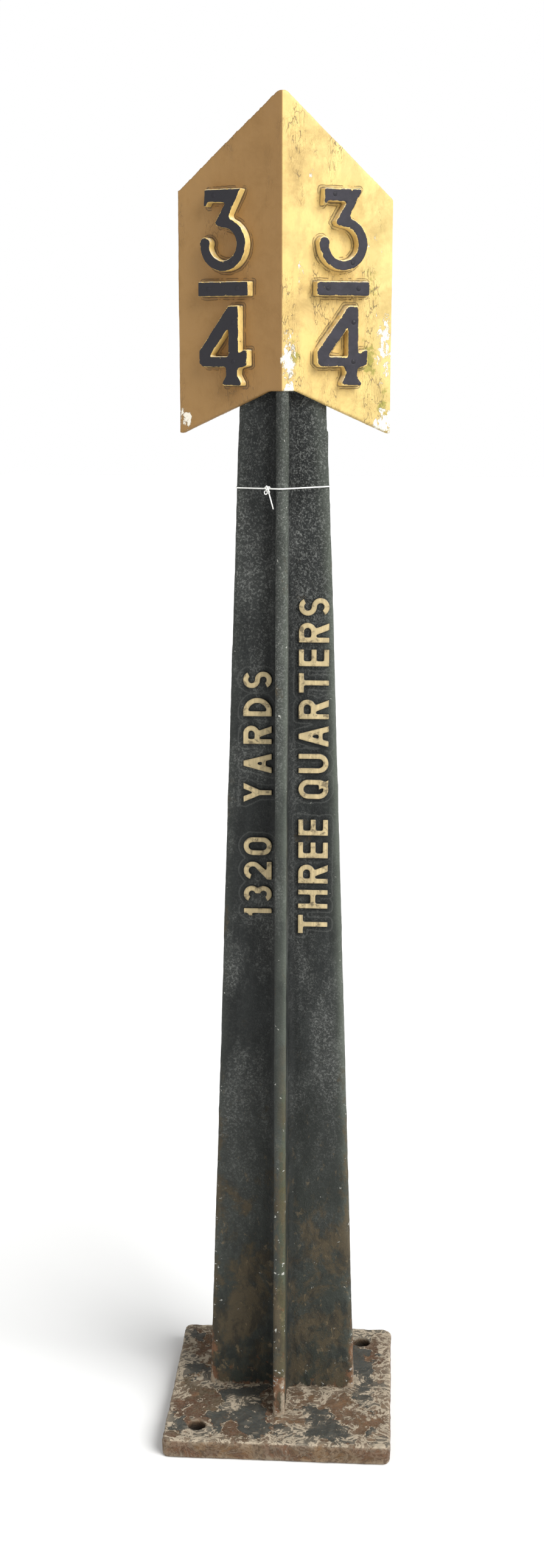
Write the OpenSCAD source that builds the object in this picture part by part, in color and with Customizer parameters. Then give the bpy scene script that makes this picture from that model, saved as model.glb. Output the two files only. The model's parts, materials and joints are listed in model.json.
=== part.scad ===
// Cast-iron railway distance post: a foot plate, a tapered cruciform shaft and a
// V-shaped head that carries a fraction on each wing, with a raised legend on the
// front of the shaft and a marker string tied below the head.
// Millimetres, +Z up, -Y is the front. The origin is the middle of the foot plate's underside.

/* [Foot plate] */
// Side of the square foot plate
plate_w = 304.8; // [250:0.1:400]
// Thickness of the foot plate
plate_t = 27; // [18:1:40]
// Radius of the foot plate's corners
plate_corner_r = 9; // [4:1:20]
// Distance from a holding-down hole's centre to the plate's side edge
hole_side_inset = 43; // [34:1:52]
// Distance from a holding-down hole's centre to the plate's front or back edge
hole_end_inset = 38; // [28:1:60]
// Diameter of the holding-down holes
hole_d = 24; // [14:1:30]

/* [Shaft] */
// Height of the shaft, from the foot plate to the lower corners of the head
shaft_h = 1315; // [1160:1:1800]
// Width of the flange at the foot
flange_foot_w = 202; // [165:1:245]
// Width of the flange at the head
flange_top_w = 112; // [110:1:150]
// Thickness of the flange
flange_t = 18; // [12:1:24]
// Distance from the shaft's centre line to a rib's face at the foot
rib_foot_reach = 85; // [60:1:110]
// Distance from the shaft's centre line to a rib's face, and to the ridge, at the head
rib_top_reach = 36; // [32:1:45]
// Thickness of the ribs
rib_t = 16; // [12:1:20]
// Radius of the fillets between the flange and the ribs
root_r = 5; // [2:0.5:5.5]
// Width of the chamfer on the flange's right-hand edges at the head
right_chamfer = 10; // [4:0.5:12]
// Width of the chamfer on the flange's left-hand edges at the head
left_chamfer = 6; // [4:0.5:12]
// Width of the chamfers on the ribs' edges at the head
rib_chamfer = 7; // [3:0.5:7.5]
// Height above the foot plate at which the flange chamfers run out
flange_stop_h = 1093; // [600:1:1110]
// Height above the foot plate at which the rib chamfers run out
rib_stop_h = 960; // [500:1:1110]

/* [Head] */
// Width of a wing, from the ridge to its outer edge
wing_w = 145; // [128:1:180]
// Thickness of the wings
wing_t = 10; // [7:0.5:14]
// Angle by which each wing is swept back
wing_angle = 24; // [18:1:30]
// Height of the left wing's outer edge
left_edge_h = 294; // [200:1:340]
// Height of the right wing's outer edge
right_edge_h = 283; // [200:1:340]
// Height of the ridge's top above the lower corners of the head
apex_h = 408; // [350:1:460]
// Height taken off the ridge's sharp top
apex_blunt = 5; // [2:0.5:8]
// Rise of the head's lower edge, from its corners to the ridge
arch_rise = 54; // [30:1:60]
// Length of the level lower edge on each side of the ridge
arch_flat = 19; // [12:1:28]
// Height of the web behind the ridge, above the lower corners of the head
web_h = 300; // [200:1:330]

/* [Numerals] */
// Distance from the ridge to the middle of the numerals
numeral_offset = 75; // [68:1:80]
// Height of the 3 and of the 4
numeral_h = 96; // [80:1:100]
// Thickness of the numerals
numeral_t = 13; // [8:0.5:18]
// Length of the fraction bar
bar_w = 69.5; // [60:0.5:80]
// Height of the fraction bar
bar_h = 17.5; // [16:0.5:20]
// Height of the fraction bar's centre line above the lower corners of the head
bar_level = 176; // [172:1:180]
// Gap between the fraction bar and each numeral
numeral_gap = 12; // [6:0.5:14]
// Diameter of the pins that hold the numerals
pin_d = 6; // [4:0.5:7]
// Diameter of the pins' hammered tails
pin_tail_d = 11; // [8:0.5:13]
// Height of the pins' hammered tails
pin_tail_h = 3; // [2:0.5:4]
// Clearance round the pins
pin_clearance = 0.05; // [0.05:0.05:0.2]

/* [Legend] */
// Cap height of the legend on the left of the shaft
left_cap = 38; // [28:1:39]
// Cap height of the legend on the right of the shaft
right_cap = 40; // [28:1:41]
// Width of the letters' strokes
stroke = 7.5; // [5:0.5:8]
// Height by which the letters stand out
relief = 3; // [1.5:0.5:5]
// Distance from the rib's side to the foot of the left-hand letters
left_margin = 5.5; // [5.5:0.5:8]
// Distance from the rib's side to the top of the right-hand letters
right_margin = 12; // [5.5:0.5:13]
// Height above the foot plate at which the left-hand legend starts
left_start = 690; // [400:1:700]
// Height above the foot plate at which the right-hand legend starts
right_start = 667; // [400:1:675]
// Gap between the digits and between the right-hand letters
letter_gap = 8; // [5:0.5:8.5]
// Gap between the letters of the left-hand word
wide_gap = 11.5; // [8:0.5:12]
// Gap between the digits and the left-hand word
number_gap = 46; // [30:1:48]
// Gap between the two right-hand words
word_gap = 27; // [20:1:28]

/* [Marker string] */
// Thickness of the string
string_d = 1.8; // [1:0.1:3]
// Distance of the string below the lower corners of the head
string_drop = 64; // [40:1:120]
// Height by which the string's right-hand side is above its left-hand side
string_tilt = 2; // [0:0.5:12]
// Gap between the string and the corners that it passes round
string_gap = 0.3; // [0.2:0.05:0.5]
// Size of the knot
knot_d = 7; // [5:0.5:9]
// Sideways distance from the ridge to the knot
knot_x = 17; // [14:0.5:24]

/* [Hidden] */
$fn = 64;

LEFT = -1;
RIGHT = 1;
IRON_BLACK = [0.16, 0.17, 0.17];
RUST = [0.45, 0.33, 0.25];
GOLD = [0.83, 0.66, 0.36];
BLACK = [0.10, 0.09, 0.11];
PALE_GOLD = [0.72, 0.62, 0.40];
WHITE = [0.92, 0.92, 0.90];

// Levels and slopes that several parts share
head_z = plate_t + shaft_h;
ridge_foot_z = head_z + arch_rise;
web_top_z = head_z + web_h;
flange_slope = (flange_top_w - flange_foot_w) / 2 / shaft_h;
rib_slope = (rib_top_reach - rib_foot_reach) / shaft_h;
function flange_half(z) = flange_foot_w / 2 + flange_slope * (z - plate_t);
function rib_reach(z) = rib_foot_reach + rib_slope * (z - plate_t);

// Where the flange ends behind the wings: above the arch it slopes in to its shoulder
SHOULDER_RISE = 44;
SHOULDER_STEP = 20;
shoulder_z = ridge_foot_z + SHOULDER_RISE;
shoulder_half = flange_half(head_z) - SHOULDER_STEP;
// The hollow of the V behind the ridge, and the back of the web where it ends below the top
WEB_TOP_DEPTH = 12;
hollow_y = -rib_top_reach + wing_t / cos(wing_angle);
web_top_back = hollow_y + WEB_TOP_DEPTH;
// The web's front leans back by this much, so that it stays inside the ridge
WEB_LEAN = 2;

// Chamfers are this deep for each millimetre of their width
CHAMFER_DEPTH = 0.8;
function chamfer_at(width, stop_h, z) = width * (z - plate_t - stop_h) / (shaft_h - stop_h);

// Numerals are drawn for this height, with x = 0 on their middle line and y = 0 at their foot
DRAWN_H = 96;
numeral_scale = numeral_h / DRAWN_H;
// the gap under the bar is this much narrower than the one over it
FOUR_LIFT = 1;
four_foot_z = head_z + bar_level - bar_h / 2 - numeral_gap - numeral_h + FOUR_LIFT;
three_foot_z = head_z + bar_level + bar_h / 2 + numeral_gap;
bar_foot_z = head_z + bar_level - bar_h / 2;
three_pin_spots = [[-12, 89] * numeral_scale, [12, 9.3] * numeral_scale];
four_pin_spots = [[14, 29] * numeral_scale, [14, 76] * numeral_scale];
bar_pin_spots = [[-20, bar_h / 2], [20, bar_h / 2]];

// ---------- foot plate ----------

module rounded_square(side, r) {
    square([side, side - 2 * r], center = true);
    square([side - 2 * r, side], center = true);
    for (x = [-1, 1], y = [-1, 1])
        translate([x * (side / 2 - r), y * (side / 2 - r)])
            circle(r = r);
}

module foot_plate() {
    hole_x = plate_w / 2 - hole_side_inset;
    hole_y = plate_w / 2 - hole_end_inset;
    color(RUST)
        difference() {
            linear_extrude(plate_t)
                rounded_square(plate_w, plate_corner_r);
            // one hole at the front left and one at the back right
            for (side = [LEFT, RIGHT])
                translate([side * hole_x, side * hole_y, -1])
                    cylinder(h = plate_t + 2, d = hole_d);
        }
}

// ---------- shaft ----------

// Stands a flat outline drawn in X and Z up as a plate with its middle on Y = 0
module upright_plate(thickness) {
    rotate([90, 0, 0])
        linear_extrude(thickness, center = true)
            children();
}

module flange() {
    foot = flange_half(plate_t);
    arch = flange_half(ridge_foot_z);
    upright_plate(flange_t)
        polygon([
            [-foot, plate_t], [foot, plate_t],
            [arch, ridge_foot_z], [shoulder_half, shoulder_z],
            [-shoulder_half, shoulder_z], [-arch, ridge_foot_z]
        ]);
}

// The outline is drawn with the front of the post towards -X, then turned to face -Y
module ribs() {
    foot = rib_reach(plate_t);
    neck = rib_reach(head_z);
    rotate([0, 0, 90])
        upright_plate(rib_t)
            polygon([
                [-foot, plate_t], [foot, plate_t],
                [neck, head_z], [web_top_back, web_top_z],
                [-neck + WEB_LEAN, web_top_z], [-neck, head_z]
            ]);
}

module root_fillets() {
    for (x = [-1, 1], y = [-1, 1])
        scale([x, y, 1])
            translate([rib_t / 2, flange_t / 2, plate_t])
                linear_extrude(shoulder_z - plate_t)
                    difference() {
                        square(root_r);
                        translate([root_r, root_r])
                            circle(r = root_r);
                    }
}

// Tapering wedge for the front right edge between two points: nothing is cut at edge_stop, and
// the full width at edge_head. It carries on past the head, so that it ends behind the wings.
module chamfer_wedge(edge_stop, edge_head, width) {
    past_head = 1.5;
    top = edge_stop + (edge_head - edge_stop) * past_head;
    across = [width * past_head, 0, 0];
    inward = [0, width * past_head * CHAMFER_DEPTH, 0];
    polyhedron(
        points = [edge_stop, top - across, top + inward, top + (across - inward) / 2],
        faces = [[1, 2, 3], [0, 2, 1], [0, 3, 2], [0, 1, 3]]
    );
}

module flange_wedge(width) {
    stop_z = plate_t + flange_stop_h;
    chamfer_wedge(
        [flange_half(stop_z), -flange_t / 2, stop_z],
        [flange_half(head_z), -flange_t / 2, head_z],
        width
    );
}

module rib_wedge() {
    stop_z = plate_t + rib_stop_h;
    chamfer_wedge(
        [rib_t / 2, -rib_reach(stop_z), stop_z],
        [rib_t / 2, -rib_reach(head_z), head_z],
        rib_chamfer
    );
}

module front_and_back() {
    children();
    mirror([0, 1, 0])
        children();
}

module shaft() {
    color(IRON_BLACK)
        difference() {
            union() {
                flange();
                ribs();
                root_fillets();
            }
            front_and_back() {
                flange_wedge(right_chamfer);
                mirror([1, 0, 0])
                    flange_wedge(left_chamfer);
                rib_wedge();
                mirror([1, 0, 0])
                    rib_wedge();
            }
            head_space();
        }
}

// ---------- head ----------

// Puts flat shapes on the front of a wing: x runs to the viewer's right from the ridge,
// y is the height above the ground and z stands out of the wing's front face
module on_wing(side) {
    translate([0, -rib_top_reach, 0])
        rotate([90, 0, side * wing_angle])
            children();
}

// Everything above the lower edge, from the back face of the wings forwards
module head_space() {
    clear_front = 60;
    clear_top = 60;
    for (side = [LEFT, RIGHT])
        on_wing(side)
            translate([0, 0, -wing_t])
                linear_extrude(wing_t + clear_front)
                    polygon([
                        [-side * wing_t, ridge_foot_z], [side * arch_flat, ridge_foot_z],
                        [side * wing_w, head_z], [side * wing_w, web_top_z + clear_top],
                        [-side * wing_t, web_top_z + clear_top]
                    ]);
}

module wing(side, edge_h) {
    apex_z = head_z + apex_h;
    // the blunt top is level for this distance from the ridge
    blunt_w = wing_w * apex_blunt / (apex_h - edge_h);
    on_wing(side)
        translate([0, 0, -wing_t])
            linear_extrude(wing_t)
                polygon([
                    [0, ridge_foot_z], [side * arch_flat, ridge_foot_z],
                    [side * wing_w, head_z], [side * wing_w, head_z + edge_h],
                    [side * blunt_w, apex_z - apex_blunt], [0, apex_z - apex_blunt]
                ]);
}

module head() {
    color(GOLD)
        difference() {
            union() {
                wing(LEFT, left_edge_h);
                wing(RIGHT, right_edge_h);
            }
            for (side = [LEFT, RIGHT]) {
                three_pin_holes(side);
                bar_pin_holes(side);
                four_pin_holes(side);
            }
        }
}

// ---------- numerals and their pins ----------

// Moves to the foot of a numeral on the middle line of a wing's fraction
module at_numeral(side, foot_z) {
    on_wing(side)
        translate([side * numeral_offset, foot_z, 0])
            children();
}

module pin_holes(spots) {
    for (spot = spots)
        translate([spot[0], spot[1], -wing_t - 1])
            cylinder(h = wing_t + numeral_t + 2, d = pin_d + 2 * pin_clearance);
}

module three_pin_holes(side) {
    at_numeral(side, three_foot_z)
        pin_holes(three_pin_spots);
}

module bar_pin_holes(side) {
    at_numeral(side, bar_foot_z)
        pin_holes(bar_pin_spots);
}

module four_pin_holes(side) {
    at_numeral(side, four_foot_z)
        pin_holes(four_pin_spots);
}

// A flat-topped 3: a slab with a serif, a diagonal neck and a round bowl with a ball end
module three_outline() {
    bowl_r = 31.6;
    bowl_hole_r = 19;
    difference() {
        translate([0, bowl_r])
            circle(r = bowl_r);
        translate([0, bowl_r])
            circle(r = bowl_hole_r);
        // the bowl is open at the upper left
        polygon([
            [0, bowl_r + 1], [0, 2 * bowl_r + 1], [-bowl_r - 1, 2 * bowl_r + 1],
            [-bowl_r - 1, bowl_r + 1]
        ]);
    }
    translate([-25, bowl_r + 1.5])
        circle(r = 7.2);
    polygon([
        [6, 52.5], [12, 58], [8.5, 65], [25, 96], [-25, 96], [-26.3, 76], [-23, 76],
        [-20.5, 81], [3.5, 80], [-11, 57], [-8.5, 53], [0, 51]
    ]);
}

module four_outline() {
    difference() {
        polygon([
            [7, 96], [21, 96], [21, 40], [28, 43.5], [33, 43.5], [33, 24], [27, 22.5], [20.5, 21],
            [19.5, 13], [25, 4], [25, 0], [-1.5, 0], [-1.5, 4], [3.8, 13], [3, 22.5],
            [-29, 22.5], [-34, 27], [-34, 42]
        ]);
        // the opening between the stem, the diagonal and the crossbar
        polygon([[6.8, 69], [6.8, 35.5], [-19.5, 35.5]]);
    }
}

module three(side) {
    color(BLACK)
        difference() {
            at_numeral(side, three_foot_z)
                scale(numeral_scale)
                    linear_extrude(numeral_t / numeral_scale)
                        three_outline();
            three_pin_holes(side);
        }
}

module fraction_bar(side) {
    color(BLACK)
        difference() {
            at_numeral(side, bar_foot_z)
                translate([-bar_w / 2, 0, 0])
                    cube([bar_w, bar_h, numeral_t]);
            bar_pin_holes(side);
        }
}

module four(side) {
    color(BLACK)
        difference() {
            at_numeral(side, four_foot_z)
                scale(numeral_scale)
                    linear_extrude(numeral_t / numeral_scale)
                        four_outline();
            four_pin_holes(side);
        }
}

// Shallow dome of the given base and height, standing on z = 0
module dome(d, h) {
    r = (d * d / 4 + h * h) / (2 * h);
    intersection() {
        translate([0, 0, h - r])
            sphere(r = r);
        cylinder(h = h, d = d);
    }
}

// A pin runs through a numeral and the wing, and is hammered over behind the wing
module pins(side, foot_z, spots) {
    point_h = 0.6;
    color(BLACK)
        at_numeral(side, foot_z)
            for (spot = spots)
                translate([spot[0], spot[1], 0]) {
                    translate([0, 0, -wing_t])
                        cylinder(h = wing_t + numeral_t, d = pin_d);
                    translate([0, 0, numeral_t])
                        dome(pin_d, point_h);
                    translate([0, 0, -wing_t])
                        mirror([0, 0, 1])
                            dome(pin_tail_d, pin_tail_h);
                }
}

// ---------- raised legend ----------

function glyph_width(c, cap) =
    c == "1" ? stroke * 1.5 :
    c == "S" || c == "3" ? (cap + stroke) / 2 :
    c == "E" ? 0.56 * cap :
    c == "A" || c == "Y" ? 0.72 * cap :
    0.66 * cap;

// Distance from the start of a word to its letter number i
function letter_start(word, cap, gap, i) =
    i == 0 ? 0 : letter_start(word, cap, gap, i - 1) + glyph_width(word[i - 1], cap) + gap;
function word_length(word, cap, gap) = letter_start(word, cap, gap, len(word)) - gap;

// Part of a ring of the stroke's width, anticlockwise from one angle to the other
module arc_stroke(r, from, to) {
    steps = 6;
    intersection() {
        difference() {
            circle(r = r);
            circle(r = r - stroke);
        }
        polygon(concat(
            [[0, 0]],
            [for (i = [0:steps]) 2 * r * [
                cos(from + (to - from) * i / steps),
                sin(from + (to - from) * i / steps)
            ]]
        ));
    }
}

// An upright oval ring with straight sides
module oval(w, cap) {
    translate([w / 2, cap - w / 2])
        arc_stroke(w / 2, 0, 180);
    translate([w / 2, w / 2])
        arc_stroke(w / 2, 180, 360);
    for (x = [0, w - stroke])
        translate([x, w / 2 - 0.1])
            square([stroke, cap - w + 0.2]);
}

module post_with_bowl(w, cap, r) {
    square([stroke, cap]);
    translate([w - r, cap - r])
        arc_stroke(r, -90, 90);
    for (y = [cap - stroke, cap - 2 * r])
        translate([0, y])
            square([w - r + 0.1, stroke]);
}

module glyph(c, cap) {
    s = stroke;
    w = glyph_width(c, cap);
    if (c == "T") {
        translate([0, cap - s])
            square([w, s]);
        translate([(w - s) / 2, 0])
            square([s, cap]);
    }
    if (c == "H") {
        for (x = [0, w - s])
            translate([x, 0])
                square([s, cap]);
        translate([0, (cap - s) / 2])
            square([w, s]);
    }
    if (c == "E") {
        square([s, cap]);
        for (y = [0, (cap - s) / 2, cap - s])
            translate([0, y])
                square([w, s]);
    }
    if (c == "U") {
        translate([w / 2, w / 2])
            arc_stroke(w / 2, 180, 360);
        for (x = [0, w - s])
            translate([x, w / 2 - 0.1])
                square([s, cap - w / 2 + 0.1]);
    }
    if (c == "D")
        post_with_bowl(w, cap, cap / 2);
    if (c == "R") {
        post_with_bowl(w, cap, 0.29 * cap);
        polygon([
            [w, 0], [0.36 * w + 1.3 * s, 0.45 * cap],
            [0.36 * w, 0.45 * cap], [w - 1.3 * s, 0]
        ]);
    }
    if (c == "A") {
        polygon([[0, 0], [1.15 * s, 0], [w / 2 + s / 2, cap], [w / 2 - s / 2, cap]]);
        polygon([[w - 1.15 * s, 0], [w, 0], [w / 2 + s / 2, cap], [w / 2 - s / 2, cap]]);
        translate([0.2 * w, 0.2 * cap])
            square([0.6 * w, 0.8 * s]);
    }
    if (c == "Y") {
        polygon([[0, cap], [(w - s) / 2, 0.42 * cap], [(w + s) / 2, 0.42 * cap], [1.2 * s, cap]]);
        polygon([[w, cap], [w - 1.2 * s, cap], [(w - s) / 2, 0.42 * cap], [(w + s) / 2, 0.42 * cap]]);
        translate([(w - s) / 2, 0])
            square([s, 0.46 * cap]);
    }
    if (c == "Q") {
        oval(w, cap);
        polygon([[0.72 * w, 0], [w, 0], [0.72 * w, 0.34 * cap], [0.45 * w, 0.34 * cap]]);
    }
    if (c == "S") {
        translate([w / 2, cap - w / 2])
            arc_stroke(w / 2, 25, 275);
        translate([w / 2, w / 2])
            arc_stroke(w / 2, -155, 95);
    }
    if (c == "3") {
        translate([w / 2, cap - w / 2])
            arc_stroke(w / 2, -90, 155);
        translate([w / 2, w / 2])
            arc_stroke(w / 2, -155, 90);
    }
    if (c == "2") {
        r = w / 2;
        translate([r, cap - r])
            arc_stroke(r, -35, 165);
        polygon([
            [0, 0], [1.3 * s, 0.5 * s], [r + r * cos(35), cap - r - r * sin(35)],
            [r + (r - s) * cos(35), cap - r - (r - s) * sin(35)], [0, 0.9 * s]
        ]);
        square([w, s]);
    }
    if (c == "1") {
        translate([w - s, 0])
            square([s, cap]);
        polygon([[0, cap - 1.7 * s], [w, cap - 1.2 * s], [w, cap], [0, cap - s]]);
    }
    if (c == "0")
        oval(w, cap);
}

// Writes a word up the front of the flange, from start_z, with its feet at x = foot_x
module word_up(word, cap, gap, foot_x, start_z) {
    color(PALE_GOLD)
        translate([foot_x, -flange_t / 2, start_z])
            rotate([0, -90, 0])
                rotate([90, 0, 0])
                    linear_extrude(relief)
                        for (i = [0:len(word) - 1])
                            translate([letter_start(word, cap, gap, i), 0])
                                glyph(word[i], cap);
}

left_foot_x = -rib_t / 2 - left_margin;
right_foot_x = rib_t / 2 + right_margin + right_cap;
number_z = plate_t + left_start;
yards_z = number_z + word_length("1320", left_cap, letter_gap) + number_gap;
three_z = plate_t + right_start;
quarters_z = three_z + word_length("THREE", right_cap, letter_gap) + word_gap;

module number_legend() {
    word_up("1320", left_cap, letter_gap, left_foot_x, number_z);
}

module yards_legend() {
    word_up("YARDS", left_cap, wide_gap, left_foot_x, yards_z);
}

module three_legend() {
    word_up("THREE", right_cap, letter_gap, right_foot_x, three_z);
}

module quarters_legend() {
    word_up("QUARTERS", right_cap, letter_gap, right_foot_x, quarters_z);
}

// ---------- marker string ----------

string_z = head_z - string_drop;
string_half = flange_half(string_z);
standoff = string_d / 2 + string_gap;

// The corners that the string passes round in one quarter of the shaft, for x and y above 0
function quarter(width) =
    let (
        w = chamfer_at(width, flange_stop_h, string_z),
        nose = rib_t / 2 - chamfer_at(rib_chamfer, rib_stop_h, string_z)
    ) [
        [string_half, flange_t / 2 - w * CHAMFER_DEPTH],
        [string_half - w, flange_t / 2],
        [nose, rib_reach(string_z)]
    ];

right_quarter = quarter(right_chamfer);
left_quarter = quarter(left_chamfer);
// anticlockwise from the right
corners = concat(
    [for (i = [0, 1, 2]) right_quarter[i]],
    [for (i = [2, 1, 0]) [-left_quarter[i][0], left_quarter[i][1]]],
    [for (i = [0, 1, 2]) -left_quarter[i]],
    [for (i = [2, 1, 0]) [right_quarter[i][0], -right_quarter[i][1]]]
);

// Outward normal of the side from corner i to the next one
function side_normal(i) =
    let (
        n = len(corners),
        step = corners[(i + 1) % n] - corners[i % n]
    ) [step[1], -step[0]] / norm(step);

// Corner i moved out, so that the string stands clear of both sides that meet there
function loop_point(i) =
    let (
        n = len(corners),
        before = side_normal(i + n - 1),
        after = side_normal(i),
        p = corners[i % n] + standoff * (before + after) / (1 + before * after)
    ) [p[0], p[1], string_z + string_tilt / 2 * p[0] / string_half];

// The knot sits on the front left span, between the flange's edge and the rib
span_from = loop_point(7);
span_to = loop_point(8);
span_way = (span_to - span_from) / norm(span_to - span_from);
knot_at = span_from + span_way * (-knot_x - span_from[0]) / span_way[0];

// Tube swept along a route of points, with flat ends square to the route
TUBE_SIDES = 8;
module swept_tube(route, d) {
    n = len(route);
    last = n - 1;
    up = [0.02, 0.03, 1];
    points = [
        for (i = [0:last])
            let (
                before = i == 0 ? route[1] - route[0] : route[i] - route[i - 1],
                after = i == last ? before : route[i + 1] - route[i],
                run = before / norm(before) + after / norm(after),
                across = cross(run, up) / norm(cross(run, up)),
                over = cross(across, run) / norm(run)
            )
            for (k = [0:TUBE_SIDES - 1])
                route[i] + d / 2 * (
                    across * cos(360 * k / TUBE_SIDES) + over * sin(360 * k / TUBE_SIDES)
                )
    ];
    walls = [
        for (i = [0:last - 1], k = [0:TUBE_SIDES - 1])
            let (
                next = (k + 1) % TUBE_SIDES,
                near = i * TUBE_SIDES,
                far = near + TUBE_SIDES
            )
            for (half = [[near + k, near + next, far + next], [near + k, far + next, far + k]])
                half
    ];
    first_cap = [for (k = [TUBE_SIDES - 1:-1:0]) k];
    last_cap = [for (k = [0:TUBE_SIDES - 1]) last * TUBE_SIDES + k];
    polyhedron(points = points, faces = concat([first_cap], walls, [last_cap]));
}

// The loop leaves one side of the knot, goes round the shaft and comes back to the other side
module string_loop() {
    side_of_knot = span_way * (knot_d / 2 + 0.05);
    color(WHITE)
        swept_tube(
            concat(
                [knot_at + side_of_knot],
                [for (i = [8:7 + len(corners)]) loop_point(i)],
                [knot_at - side_of_knot]
            ),
            string_d
        );
}

module string_knot() {
    // two bights of the string show below the knot
    bight_d = 0.6 * knot_d;
    color(WHITE)
        translate(knot_at) {
            sphere(d = knot_d);
            for (x = [-0.35, 0.25])
                translate([x * knot_d, 0, -0.45 * knot_d])
                    sphere(d = bight_d);
        }
}

// Route of the loose end, from the underside of the knot
TAIL_ROUTE = [
    [0, 0, 0], [0.6, 0, -2.5], [1.3, 0, -5], [2.0, 0, -7.5], [2.7, 0, -10],
    [3.4, 0, -12.5], [4.1, 0, -15], [4.8, 0, -17.5], [5.4, 0, -20]
];

module string_tail() {
    start = knot_at + [0.25 * knot_d, 0, -0.76 * knot_d];
    color(WHITE)
        swept_tube([for (p = TAIL_ROUTE) start + p], string_d);
}

foot_plate();
shaft();
head();
three(LEFT);  // left_three
fraction_bar(LEFT);  // left_fraction_bar
four(LEFT);  // left_four
three(RIGHT);  // right_three
fraction_bar(RIGHT);  // right_fraction_bar
four(RIGHT);  // right_four
pins(LEFT, three_foot_z, three_pin_spots);  // left_three_pins
pins(LEFT, bar_foot_z, bar_pin_spots);  // left_bar_pins
pins(LEFT, four_foot_z, four_pin_spots);  // left_four_pins
pins(RIGHT, three_foot_z, three_pin_spots);  // right_three_pins
pins(RIGHT, bar_foot_z, bar_pin_spots);  // right_bar_pins
pins(RIGHT, four_foot_z, four_pin_spots);  // right_four_pins
number_legend();
yards_legend();
three_legend();
quarters_legend();
string_loop();
string_knot();
string_tail();
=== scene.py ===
"""Builds the looks of a cast-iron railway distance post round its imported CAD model.

The file is laid out as a Blender add-on and is run as a script. Lengths are in metres, in the
CAD model's frame: +Z is up, -Y is the front, and the ridge of the head points to the front.
"""

import json
import math

import bmesh
import bpy
import numpy as np
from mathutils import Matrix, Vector, noise
from mathutils.bvhtree import BVHTree

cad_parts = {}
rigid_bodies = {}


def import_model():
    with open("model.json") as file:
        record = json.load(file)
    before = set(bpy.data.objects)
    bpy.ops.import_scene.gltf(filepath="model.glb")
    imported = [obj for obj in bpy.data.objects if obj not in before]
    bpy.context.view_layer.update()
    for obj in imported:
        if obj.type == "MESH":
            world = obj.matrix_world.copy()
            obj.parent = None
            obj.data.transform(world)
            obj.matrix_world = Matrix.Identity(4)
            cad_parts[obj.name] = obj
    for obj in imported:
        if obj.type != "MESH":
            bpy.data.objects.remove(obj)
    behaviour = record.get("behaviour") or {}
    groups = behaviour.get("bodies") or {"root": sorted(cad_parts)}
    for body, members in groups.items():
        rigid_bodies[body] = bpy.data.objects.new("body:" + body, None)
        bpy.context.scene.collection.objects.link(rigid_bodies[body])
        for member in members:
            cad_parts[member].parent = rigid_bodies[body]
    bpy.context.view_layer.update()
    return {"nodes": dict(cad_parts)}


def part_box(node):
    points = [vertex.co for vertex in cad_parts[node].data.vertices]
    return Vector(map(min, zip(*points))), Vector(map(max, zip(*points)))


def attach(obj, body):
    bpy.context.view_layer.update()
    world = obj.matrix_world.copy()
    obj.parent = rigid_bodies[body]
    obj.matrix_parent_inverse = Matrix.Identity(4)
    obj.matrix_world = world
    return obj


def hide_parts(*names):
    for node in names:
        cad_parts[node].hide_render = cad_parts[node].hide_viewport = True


bl_info = {
    "name": "Railway Distance Post",
    "version": (1, 0, 0),
    "blender": (4, 5, 0),
    "location": "View3D > Sidebar > Distance Post",
    "description": "Cast-iron distance post with pinned numerals, a raised legend and old paint",
    "category": "Object",
}

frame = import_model()

LEFT, RIGHT = -1, 1
FRONT, BACK = -1, 1
SIDE_NAMES = {LEFT: "left", RIGHT: "right"}
FRACTION = ("three", "fraction_bar", "four")
PIN_OF = {"three": "three_pins", "fraction_bar": "bar_pins", "four": "four_pins"}
LEGEND = ("number_legend", "yards_legend", "three_legend", "quarters_legend")

# The string's loose end: round the knot, in knot radii, then the route of the CAD model
TAIL_WRAP = (
    (-0.6, 0.35, 0.4), (-0.35, -0.3, 1.0), (-0.05, -0.9, 0.75), (0.25, -1.15, 0),
    (0.4, -0.9, -0.8), (0.5, -0.35, -1.3),
)
TAIL_ROUTE_MM = (
    (0, 0, 0), (0.6, 0, -2.5), (1.3, 0, -5), (2.0, 0, -7.5), (2.7, 0, -10),
    (3.4, 0, -12.5), (4.1, 0, -15), (4.8, 0, -17.5), (5.4, 0, -20),
)

# Levels that the CAD model fixes
PLATE_LOW, PLATE_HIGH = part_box("foot_plate")
SHAFT_LOW, SHAFT_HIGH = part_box("shaft")
HEAD_LOW, HEAD_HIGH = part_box("head")
RIDGE_Y = HEAD_LOW.y

# Overlap of castings that are joined, depth to which a casting is sunk in the next, and the
# distance within which a point counts as being at a place
OVERLAP, SUNK, AT = 0.001, 0.003, 1e-4

# Gap below which loose points of a CAD copy are merged, and angle within which its faces are one
MERGE_GAP, FLAT_WITHIN = 1e-5, math.radians(0.5)


# ---------------------------------------------------------------- settings


def length(name, description, default):
    return bpy.props.FloatProperty(
        name=name, description=description, default=default, unit="LENGTH", precision=5
    )


def share(name, description, default):
    return bpy.props.FloatProperty(
        name=name, description=description, default=default, subtype="FACTOR", min=0, max=1
    )


def colour(name, description, default):
    return bpy.props.FloatVectorProperty(
        name=name, description=description, default=default, subtype="COLOR", min=0, max=1
    )


def angle(name, description, degrees):
    return bpy.props.FloatProperty(
        name=name, description=description, default=math.radians(degrees), subtype="ANGLE"
    )


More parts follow.
